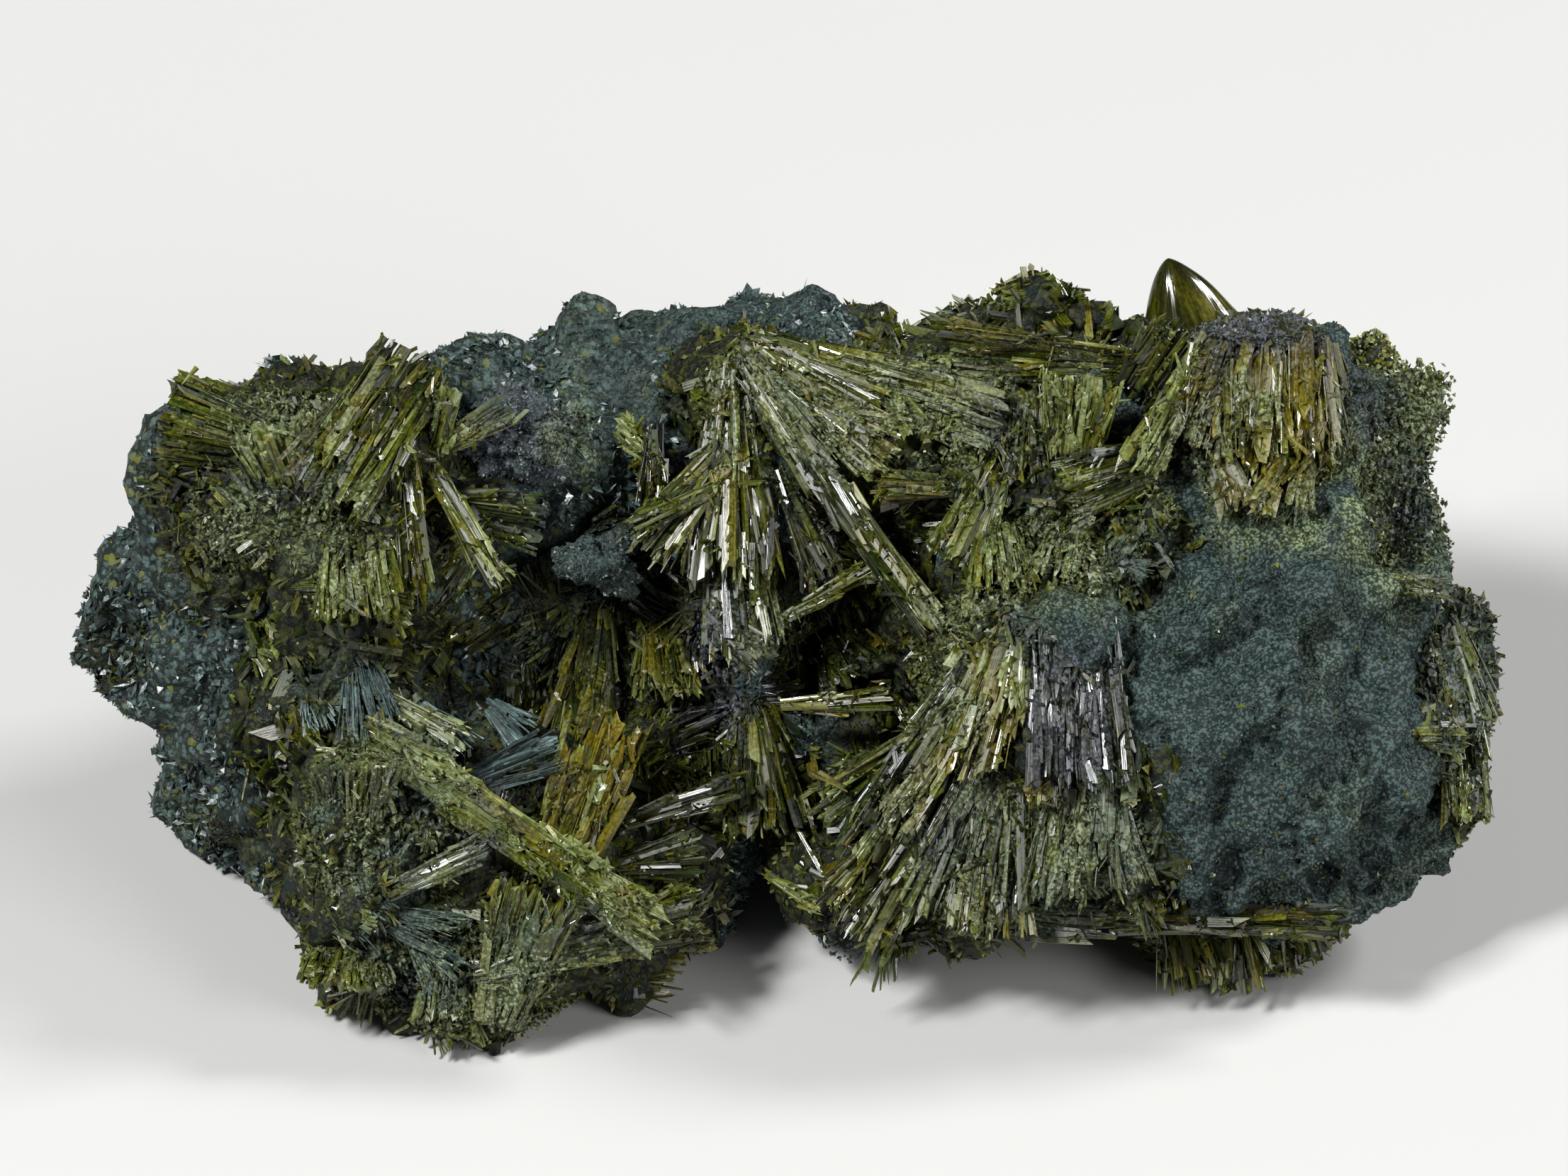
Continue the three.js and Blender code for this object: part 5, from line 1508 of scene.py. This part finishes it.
MAIN_SHEAVES = (
    Sheaf((-1.4, 19.9, 0.3), (-1.4, 13.4, 1.7), 0.9, 1, 22, OLIVE, 0.2, dome=0.2),
    Sheaf((-1.4, 14.8, 0.6), (-0.9, 11.4, 1.1), 1.7, 0.7, 12, OLIVE, 0.2, ragged=0.5),
    Sheaf((-2, 12.6, 1), (-0.4, 11.2, 1.4), 0.7, 0.4, 20, DARK, 0.2),
    Sheaf((-1.8, 17.3, 1.3), (-4.3, 14.3, 1.3), 0.9, 0.6, 14, OLIVE),
    Sheaf((-2, 16.4, 1.6), (-4.4, 15.2, 1.6), 0.4, 0.4, 6, BRIGHT, 0.13),
    Sheaf((-3.6, 17.2, 0.2), (-4.8, 18.4, 0.4), 0.5, 0.4, 10, PALE, 0.12),
    Sheaf((-3.7, 18.2, 0.4), (-3.8, 15.9, 0.6), 0.6, 0.4, 10, DARK),
    Sheaf((-0.9, 20.1, 1.1), (1.5, 17, 1.5), 0.8, 0.6, 16, OLIVE),
    Sheaf((-0.6, 19.4, 1.2), (4.7, 12, 2.8), 0.95, 0.7, 0, OLIVE, 0.22, ragged=0.1),
    Sheaf((0, 16.8, 0.8), (1.5, 13.4, 1), 0.5, 0.5, 14, DARK),
    Sheaf((0.2, 12.6, 1), (2.9, 14.1, 1.6), 0.3, 0.3, 6, BRIGHT, 0.12),
    Sheaf((-0.6, 20.3, 0.6), (3.5, 17.4, 1.7), 1, 0.7, 16, BRIGHT),
    Sheaf((5, 16.4, 1.6), (2.7, 16.4, 1.6), 0.6, 0.5, 14, OLIVE),
    Sheaf((6.2, 11.4, 3.1), (2.6, 5, 2.6), 1.5, 0.8, 14, OLIVE, 0.22, ragged=0.6),
    Sheaf((5.2, 9, 3.2), (3.3, 6.4, 3.6), 0.7, 0.5, 12, BRIGHT, 0.22, ragged=0.5, warm=0.5),
    Sheaf((6.9, 12.3, 3.6), (5.4, 7.6, 4.2), 1.2, 0.7, 10, BRIGHT, 0.22, ragged=0.6, warm=0.6),
    Sheaf((7.2, 12.2, 3.9), (6.8, 9.4, 4.6), 0.7, 0.5, 6, PALE, 0.24, ragged=0.5),
    Sheaf((6.2, 8.2, 3.2), (4.6, 3.4, 3), 1.5, 0.7, 16, DARK, 0.22, ragged=0.6),
    Sheaf((6.9, 8.4, 3.2), (6.6, 3, 3.1), 1.1, 0.7, 8, OLIVE, 0.2, ragged=0.6, warm=0.4),
    Sheaf((4.6, 6.2, 2.9), (3.4, 4, 3.4), 0.7, 0.4, 14, BRIGHT, 0.22, ragged=0.5),
    Sheaf((5.8, 5.6, 3.3), (5.4, 3.2, 3.8), 0.6, 0.4, 12, BRIGHT, 0.2, ragged=0.5, warm=0.3),
    Sheaf((8.6, 12.3, 4), (8.9, 7.4, 5), 2.7, 0.8, 4, DEEP, 0.26, ragged=0.4),
    Sheaf((7.8, 9.4, 4), (7.6, 7, 4.8), 0.5, 0.5, 0, BRIGHT, 0.24, warm=1),
    Sheaf((8.6, 8.2, 3.9), (8, 4, 3.8), 1.1, 0.7, 12, OLIVE, 0.2, ragged=0.6),
    Sheaf((9.5, 8.4, 3.9), (9.4, 4.6, 4), 1.1, 0.7, 14, BRIGHT, 0.2, ragged=0.6),
    Sheaf((10.2, 9.4, 3.6), (10.4, 7, 4.4), 0.6, 0.5, 12, PALE, 0.2, ragged=0.5, warm=0.3),
    Sheaf((9.6, 7.4, 4), (10.6, 4.6, 4), 0.8, 0.5, 10, OLIVE, 0.2, ragged=0.4),
    Sheaf((4.8, 7.2, 2), (2, 3.2, 2.2), 1.6, 0.7, 14, OLIVE, 0.2),
    Sheaf((4.2, 9, 1.6), (0.9, 6.7, 2.2), 0.95, 0.5, 12, BRIGHT),
    Sheaf((0.2, 10, 1), (3.4, 10.2, 1.6), 0.4, 0.4, 6, OLIVE),
    Sheaf((-0.4, 5, 1), (1.2, 3.9, 2), 0.3, 0.3, 0, PALE, 0.16),
    Sheaf((5.3, 3.7, 1.6), (10, 3.5, 2), 1, 0.6, 0, DARK, 0.2),
    Sheaf((10, 3.6, 1.8), (16.8, 3.6, 2), 0.9, 0.6, 0, DARK, 0.18, ragged=0.3),
    Sheaf((6.4, 17, 1.4), (5, 14.1, 2.2), 0.9, 0.6, 18, BRIGHT),
    Sheaf((8.6, 17, 1), (9, 19.8, 1.8), 1.5, 0.7, 20, PALE),
    Sheaf((7.4, 19.3, 0.6), (7.4, 16.5, 1.6), 1, 0.5, 10, OLIVE),
    Sheaf((11.2, 17.2, 1.2), (8.2, 16.2, 2.8), 1.4, 0.6, 12, OLIVE),
    Sheaf((-0.8, 20.7, 0.4), (6.6, 18.3, 1.6), 1, 0.7, 10, BRIGHT, 0.14),
    Sheaf((0.4, 19.2, 1.2), (3.5, 17.4, 1.9), 0.5, 0.5, 26, OLIVE, 0.12, warm=0.7),
    Sheaf((2.6, 19.6, 0.6), (3.4, 17.8, 1.9), 1.1, 0.6, 26, PALE, 0.13, ragged=0.6),
    Sheaf((5.2, 19.2, 0.6), (4.8, 17.6, 1.8), 0.9, 0.6, 28, BRIGHT, 0.13, ragged=0.6),
    Sheaf((6.4, 15.2, 1.6), (6.6, 13.2, 3), 1.3, 0.6, 24, PALE, 0.14, ragged=0.6),
    Sheaf((8.6, 15.4, 1.6), (8.2, 13.6, 3.2), 1, 0.6, 26, BRIGHT, 0.14, ragged=0.6),
    Sheaf((10.2, 20, -0.8), (4, 20.5, -0.4), 1.2, 0.6, 8, OLIVE),
    Sheaf((10.6, 19.2, -0.4), (12, 21.3, 0.6), 1.5, 0.8, 10, OLIVE),
)
UPPER_SHEAVES = (
    Sheaf((14.6, 20.6, 0.9), (14.6, 17, 2.7), 3.4, 1.1, 6, BRIGHT, 0.24, ragged=0.45, warm=0.6),
    Sheaf((12.9, 17.5, 2.4), (13.5, 15.8, 3.1), 0.6, 0.5, 10, OLIVE, 0.22, warm=0.7),
    Sheaf((14.8, 17.2, 2.5), (13.9, 15.7, 3.2), 0.6, 0.5, 10, BRIGHT, 0.22, warm=0.8),
    Sheaf((15.6, 17.4, 2.3), (15.3, 15.7, 2.9), 0.6, 0.5, 10, BRIGHT, 0.22, warm=0.6),
    Sheaf((16.2, 18.2, 1.4), (15.2, 16.4, 2.6), 0.5, 0.5, 6, OLIVE, 0.2, warm=0.8),
    Sheaf((14.2, 18.2, 1.9), (14.1, 16.2, 2.6), 0.8, 0.6, 8, OLIVE, 0.2, ragged=0.4, warm=0.4),
    Sheaf((12.7, 20.6, 1.1), (10.4, 16.9, 2.6), 0.8, 0.6, 6, PALE, 0.15, ragged=0.4),
    Sheaf((13.1, 20.4, 1.2), (12, 17.6, 2.7), 1.2, 0.7, 8, DARK, 0.2, ragged=0.4, warm=0.7),
    Sheaf((15.9, 20.4, 0.2), (16.2, 16.8, 1.8), 1, 0.8, 8, OLIVE, 0.2, ragged=0.4),
)
RIM_SHEAVES = (
    Sheaf((19.8, 12, -0.8), (20.6, 9, 0.4), 1.2, 0.7, 10, OLIVE, 0.2),
    Sheaf((20.2, 9.4, -0.4), (20.4, 6.4, 0.6), 1.1, 0.7, 12, OLIVE, 0.2),
    Sheaf((18.2, 9.1, 1), (20.4, 9, 1), 0.5, 0.5, 10, BRIGHT),
    Sheaf((17.9, 13.6, 0.8), (19.8, 13.4, 0.2), 0.4, 0.4, 10, BRIGHT),
)
FOOT_SHEAVES = (
    Sheaf((11.9, 3.8, -0.6), (12.4, 1.5, -0.3), 1.5, 0.8, 20, OLIVE, 0.2, ragged=0.5),
    Sheaf((13.4, 3.6, -0.4), (13.6, 1.4, -0.4), 1.1, 0.8, 16, BRIGHT, 0.2, ragged=0.5),
    Sheaf((14.9, 3.9, -0.6), (15.2, 2.1, -0.4), 1.4, 0.8, 18, OLIVE, 0.2, ragged=0.5),
)
HOLLOW_SHEAVES = (
    Sheaf((-5.4, 16.6, -2.8), (-3.8, 17.4, -0.4), 1, 0.5, 20, OLIVE),
    Sheaf((-6.6, 14.4, -2.4), (-4.4, 15.4, -0.4), 1, 0.5, 12, DARK),
    Sheaf((-7.4, 13.4, -2.6), (-10, 12.4, -0.2), 0.9, 0.5, 22, OLIVE),
    Sheaf((-5.4, 12.6, -2.6), (-6, 9, -0.6), 0.9, 0.5, 22, OLIVE),
    Sheaf((-3.6, 12.8, -3), (-3.4, 10, -0.6), 0.9, 0.5, 22, BRIGHT),
    Sheaf((1.2, 12.4, -2.8), (2.4, 10.6, 0), 0.9, 0.5, 26, DARK),
    Sheaf((-0.8, 10.2, -1.4), (-0.3, 6, 0.6), 0.9, 0.6, 26, OLIVE, 0.2),
)
CRYSTALS = (
    SheafPiece("left_sheaves", ("epidote_left_sheaves",), Zone.LEFT, LEFT_SHEAVES,
               (Sprays(340, 1.0), Grains(2600, 0.36, 0.18, tone=BRIGHT), Grains(900, 0.8, 0.3, lean=1.8)),
               sugar=14000),
    SheafPiece("main_sheaves", ("epidote_main_sheaves",), Zone.MAIN, MAIN_SHEAVES,
               (Sprays(340, 1.0), Grains(2600, 0.36, 0.18, tone=BRIGHT), Grains(900, 0.8, 0.3, lean=1.8)),
               sugar=18000),
    SheafPiece("upper_block", ("epidote_upper_block",), Zone.UPPER, UPPER_SHEAVES,
               (Sprays(50, 1.0), Grains(700, 0.36, 0.16, tone=BRIGHT)), sugar=3000),
    SheafPiece("back_plate", ("epidote_back_plate",), Zone.PLATE, (),
               (Grains(3600, 0.13, 0.17, 0.95, PALE, 3.0),)),
    SheafPiece("right_rim", ("epidote_right_rim",), Zone.RIM, RIM_SHEAVES,
               (Grains(1500, 0.36, 0.16),)),
    # The hollow's small crystals take the DARK tone and the darker finish: painted shade of the hollow.
    SheafPiece("hollow_lining", ("hollow_crystals",), Zone.HOLLOW, HOLLOW_SHEAVES,
               (Sprays(240, 1.3, tone=DARK, rise=0.6), Grains(1300, 0.36, 0.13, tone=DARK)),
               HOLLOW_SHADE_EPIDOTE, "dark_crust"),
)


@dataclass(frozen=True)
class GranularCrust:
    """Pale grains piled on the crystals where the crust lies thick."""

    grains: Grains = Grains(12000, 0.22, 0.15, 0.8, BRIGHT, 3.0)
    least: float = 0.3
    height: float = 0.5

    def build(self, ground: Ground, rng: Random) -> None:
        """Pick places where there is crust, raise them by up to its height and strew grains on them.

        Args:
            ground: places all over the mass.
            rng: the random numbers.
        """
        thick = Coat.CRUST.cover(ground.points) > self.least
        own = ground.where(thick & (Zone.any_covers(ground.places) > 0))
        own.points = own.points + own.normals * rng.uniform(0, self.height, (len(own), 1)) ** 1.5
        self.grains.prisms(own, rng).above_floor().gems().piece("granular_crust", EPIDOTE, "epidote")


@dataclass(frozen=True)
class Clump:
    """A rounded lump, roughened: the foot, or a clump of chlorite dust, with grains or crystals on it."""

    name: str
    nodes: tuple[str, ...]
    lump: Lump
    finish: Finish
    slot: str
    rough: float
    scatter: tuple[Sprays | Grains, ...]
    sheaves: tuple[Sheaf, ...] = ()
    steps: int = 80
    places: int = 8000
    seed: int = 5

    def build(self, rng: Random) -> None:
        """Make the lump, strew it and dress it as one piece."""
        body, ground = self.body()
        groups = [part for sheaf in self.sheaves for part in sheaf.prisms(rng)]
        groups += [layer.prisms(ground, rng) for layer in self.scatter]
        grown = Prisms.joined(groups).above_floor()
        crystals = grown.needles(rng) if self.sheaves else grown.gems()
        Shell.joined([body, crystals]).piece(self.name, self.finish, self.slot, self.nodes)

    def body(self) -> tuple[Shell, Ground]:
        """The lump as a sphere of turns by rises, squeezed to its radii and pushed in and out by noise,
        closed by a fan at each pole, and the ground that its surface gives.

        Returns:
            The lump and its ground.
        """
        turns, rises = 2 * self.steps, self.steps
        turn = 2 * math.pi * np.arange(turns) / turns
        rise = math.pi * (np.arange(1, rises) / rises - 0.5)
        t, r = np.meshgrid(turn, rise, indexing="ij")
        ball = np.stack([np.cos(r) * np.cos(t), np.cos(r) * np.sin(t), np.sin(r)], -1).reshape(-1, 3)
        ball = np.concatenate([ball, [[0, 0, -1], [0, 0, 1]]])
        size = 1 - self.rough + 1.6 * self.rough * fractal(ball * max(self.lump.radii), 1.1, 21, 4)[:, None]
        points = from_picture(np.array(self.lump.at) + ball * size * np.array(self.lump.radii))
        normals = unit(from_picture(ball / np.array(self.lump.radii)) - from_picture(np.zeros((1, 3))))
        points[:, 2] = np.maximum(points[:, 2], 0.0)
        per, count = rises - 1, len(points)
        i, k = np.meshgrid(np.arange(turns), np.arange(per - 1), indexing="ij")
        here, beside = i * per + k, (i + 1) % turns * per + k
        ring = np.arange(turns) * per
        after = (ring + per) % (turns * per)
        faces = np.concatenate([quads(here, beside, beside + 1, here + 1), spokes(count - 2, after, ring),
                                spokes(count - 1, ring + per - 1, after + per - 1)])
        values = {"shade": 0.3 + 0.3 * lattice_noise(points, 0.5, 77), "along": np.full(count, 0.5),
                  "warm": np.zeros(count), "dull": np.full(count, 0.8)}
        shell = Shell(points, faces, values, np.zeros((3 * len(faces), 2))).coated()
        weight = np.abs(np.cos(np.concatenate([r.ravel(), [1.57, 1.57]])))
        pick = np.random.default_rng(self.seed).choice(count, self.places, p=weight / weight.sum())
        return shell, Ground(points[pick], normals[pick], to_picture(points[pick]))


CLUMPS = (
    Clump("crystal_foot", ("epidote_foot",), Lump((13.3, 4.4, -2.3), (3.5, 3, 2.7)), EPIDOTE, "epidote", 0.1,
          (Sprays(60, 0.8, tone=OLIVE), Grains(2400, 0.34, 0.24, 0.8, BRIGHT, 2.5)), FOOT_SHEAVES, 70),
    Clump("upper_block_cap", (), Lump((14.2, 20.9, 0.2), (2.05, 0.75, 1.5)), EPIDOTE, "epidote", 0.1,
          (Grains(1400, 0.2, 0.17, 0.7, OLIVE, 3.0),), steps=50),
    Clump("dust_clump_upper", ("chlorite_clump_upper",), Lump((-8, 17.9, 1.2), (2, 1.5, 1.2)), CLUMP,
          "chlorite_dust", 0.3, (Grains(6000, 0.14, 0.13, 0.8, MIXED, 3.0),)),
    Clump("dust_clump_centre", ("chlorite_clump_centre",), Lump((-5.6, 14.2, 0.2), (1.5, 1.2, 1.2)), DUST,
          "chlorite_dust", 0.3, (Grains(5000, 0.13, 0.12, 0.8, MIXED, 3.0),)),
)


@dataclass(frozen=True)
class Peak:
    """The glossy crystal that stands above the crest: a smooth tooth with a rounded tip."""

    foot: Triple = (12.3, 19.6, -2.6)
    tip: Triple = (11.55, 23.25, -1.8)
    half_left: float = 1.5
    half_right: float = 2.6
    half_depth: float = 1.3
    turns: int = 72
    rises: int = 48

    def build(self) -> None:
        """Make the tooth: a ring squeezed between a rhombus and an ellipse is carried from the foot to the
        tip and narrows as the root of one less the height's power, and a middle point closes each end."""
        height = 1 - (1 - np.linspace(0, 0.998, self.rises)) ** 1.6
        size = (1 - height**1.4) ** 0.68
        turn = 2 * math.pi * np.arange(self.turns) / self.turns
        half = np.where(np.cos(turn) < 0, self.half_left, self.half_right)
        x = np.sign(np.cos(turn)) * np.abs(np.cos(turn)) ** 1.2 * half
        w = np.sign(np.sin(turn)) * np.abs(np.sin(turn)) ** 1.2 * self.half_depth
        path = np.array(self.foot) + height[:, None] * (np.array(self.tip) - np.array(self.foot))
        rings = path[:, None] + size[:, None, None] * np.stack([x, np.zeros_like(x), w], 1)[None]
        points = from_picture(np.concatenate([rings.reshape(-1, 3), path[[0, -1]]]))
        outward = unit(points - from_picture(np.array([self.foot])))
        points += 0.025 * fractal(points, 1.4, 44, 3)[:, None] * outward
        i, k = np.meshgrid(np.arange(self.rises - 1), np.arange(self.turns), indexing="ij")
        here, after = i * self.turns + k, i * self.turns + (k + 1) % self.turns
        ring, count = np.arange(self.turns), len(points)
        following, last = (ring + 1) % self.turns, (self.rises - 1) * self.turns
        faces = np.concatenate([
            quads(here, after, after + self.turns, here + self.turns), spokes(count - 2, following, ring),
            spokes(count - 1, last + ring, last + following)])[:, ::-1]
        uv = np.stack([faces % self.turns * 0.05, faces // self.turns * 0.08], -1).reshape(-1, 2)
        values = {"shade": 0.36 + 0.25 * lattice_noise(points, 0.9, 45), "along": np.full(count, 0.5),
                  "warm": np.full(count, 0.4), "dull": np.zeros(count)}
        values |= {coat.name.lower(): np.zeros(count) for coat in Coat}
        Shell(points, faces, values, uv).piece("glossy_peak", CLEAR_EPIDOTE, "epidote", soft=True)


@dataclass(frozen=True)
class FibreTufts:
    """Bundles of teal actinolite fibres."""

    bundles: tuple[Sheaf, ...] = (
        Sheaf((-9.6, 7.5, 1.2), (-6.4, 8.8, 2), 0.8, 0.7, 10, OLIVE, 0.06, ragged=0.7),
        Sheaf((-12.4, 11.1, 1.6), (-12, 8.9, 3.3), 1.1, 0.6, 24, OLIVE, 0.06, ragged=0.8),
        Sheaf((-11.6, 3.7, 1.6), (-9.3, 2.9, 3.1), 0.8, 0.6, 22, OLIVE, 0.06, ragged=0.8),
        Sheaf((-10.6, 9.8, 1.5), (-9.2, 8.4, 2.7), 0.6, 0.5, 24, PALE, 0.06, ragged=0.8),
        Sheaf((-13, 4.3, 1), (-11.5, 3.6, 2.8), 0.8, 0.5, 28, BRIGHT, 0.06, ragged=0.8),
        Sheaf((-8.6, 10, 0.6), (-7.4, 9, 1.6), 0.6, 0.4, 28, BRIGHT, 0.06, ragged=0.8),
        Sheaf((-13.9, 10.5, 1), (-13.2, 9.2, 2.6), 0.7, 0.4, 30, PALE, 0.06, ragged=0.8),
        Sheaf((-10.7, 3, 1.6), (-9.7, 1.8, 2.8), 0.7, 0.4, 30, OLIVE, 0.06, ragged=0.8),
    )

    def build(self, rng: Random) -> None:
        """Lay the fibres on their bundles' bodies and dress them."""
        bodies = [bundle.core(rng) for bundle in self.bundles]
        fibres = Prisms.joined([bundle.prisms(rng)[0] for bundle in self.bundles]).needles(rng)
        Shell.joined([*bodies, fibres]).piece("teal_fibres", FIBRES, "actinolite_fibre", ("actinolite_tuft",))


@dataclass(frozen=True)
class Studio:
    """A plain pale floor, soft lights and the camera at the photograph's angle."""

    distance: float = 0.6
    view_width: float = 46.45
    aim: Triple = (0.126, 13.45, 0)
    sensor: float = 36
    floor_size: float = 3.0
    floor_colour: Colour = (0.4, 0.4, 0.39)
    floor_roughness: float = 0.9
    air_colour: Colour = (0.92, 0.95, 1.0)
    air_strength: float = 0.07

    def build(self) -> None:
        """Set the floor, the lights, the surroundings and the camera."""
        self.floor()
        self.light("key", (-0.26, -0.20, 0.42), size=0.1, power=4.5)
        self.light("fill", (0.34, -0.30, 0.26), size=0.2, power=1.6)
        self.light("back", (0.36, 0.1, 0.33), size=0.12, power=2.4)
        world = bpy.data.worlds.new("surroundings")
        world.use_nodes = True
        air = world.node_tree.nodes["Background"]
        air.inputs["Color"].default_value = (*self.air_colour, 1)
        air.inputs["Strength"].default_value = self.air_strength
        bpy.context.scene.world = world
        bpy.context.scene.view_settings.view_transform = "Standard"
        self.camera()

    def floor(self) -> None:
        """A large pale sheet under the specimen, matt and plain."""
        half = self.floor_size / 2
        mesh = bpy.data.meshes.new("floor")
        corners = [(-half, -half, 0), (half, -half, 0), (half, half, 0), (-half, half, 0)]
        mesh.from_pydata(corners, [], [(0, 1, 2, 3)])
        floor = bpy.data.objects.new("floor", mesh)
        bpy.context.scene.collection.objects.link(floor)
        material = bpy.data.materials.new("pale_floor")
        material.use_nodes = True
        shader = material.node_tree.nodes["Principled BSDF"]
        shader.inputs["Base Color"].default_value = (*self.floor_colour, 1)
        shader.inputs["Roughness"].default_value = self.floor_roughness
        mesh.materials.append(material)

    @staticmethod
    def light(name: str, place: Triple, size: float, power: float) -> None:
        """A square soft light that faces the specimen.

        Args:
            name: its name.
            place: where it stands, in metres.
            size: its side, in metres.
            power: its strength, in watts.
        """
        lamp = bpy.data.lights.new(name, "AREA")
        lamp.size, lamp.energy = size, power
        holder = bpy.data.objects.new(name, lamp)
        holder.location = place
        holder.rotation_euler = (Vector((0, 0, 0.008)) - Vector(place)).to_track_quat("-Z", "Y").to_euler()
        bpy.context.scene.collection.objects.link(holder)

    def camera(self) -> None:
        """A long lens from the front, looking down at LOOK_DOWN."""
        lens = bpy.data.cameras.new("camera")
        lens.sensor_width = self.sensor
        lens.lens = self.sensor * self.distance / (self.view_width * MM)
        lens.clip_start = 0.01
        target = from_picture(np.array([self.aim]))[0] * MM
        camera = bpy.data.objects.new("camera", lens)
        camera.location = Vector(target + VIEWER * self.distance)
        camera.rotation_euler = Vector(-VIEWER).to_track_quat("-Z", "Y").to_euler()
        bpy.context.scene.collection.objects.link(camera)
        bpy.context.scene.camera = camera


def main() -> None:
    """Build the specimen piece by piece, then the studio."""
    logging.basicConfig(level=logging.INFO, format="%(message)s")
    rng = np.random.default_rng(seed=58)
    ground = Ground.sample(count=140000, seed=7)
    HostRock().build()
    RockSkin().build(ground.where(Zone.any_covers(ground.places) < CRYSTALS_BEGIN), rng)
    for crystals in CRYSTALS:
        crystals.build(ground, rng)
    GranularCrust().build(ground, rng)
    for clump in CLUMPS:
        clump.build(rng)
    FibreTufts().build(rng)
    Peak().build()
    Studio().build()


if __name__ == "__main__":
    main()
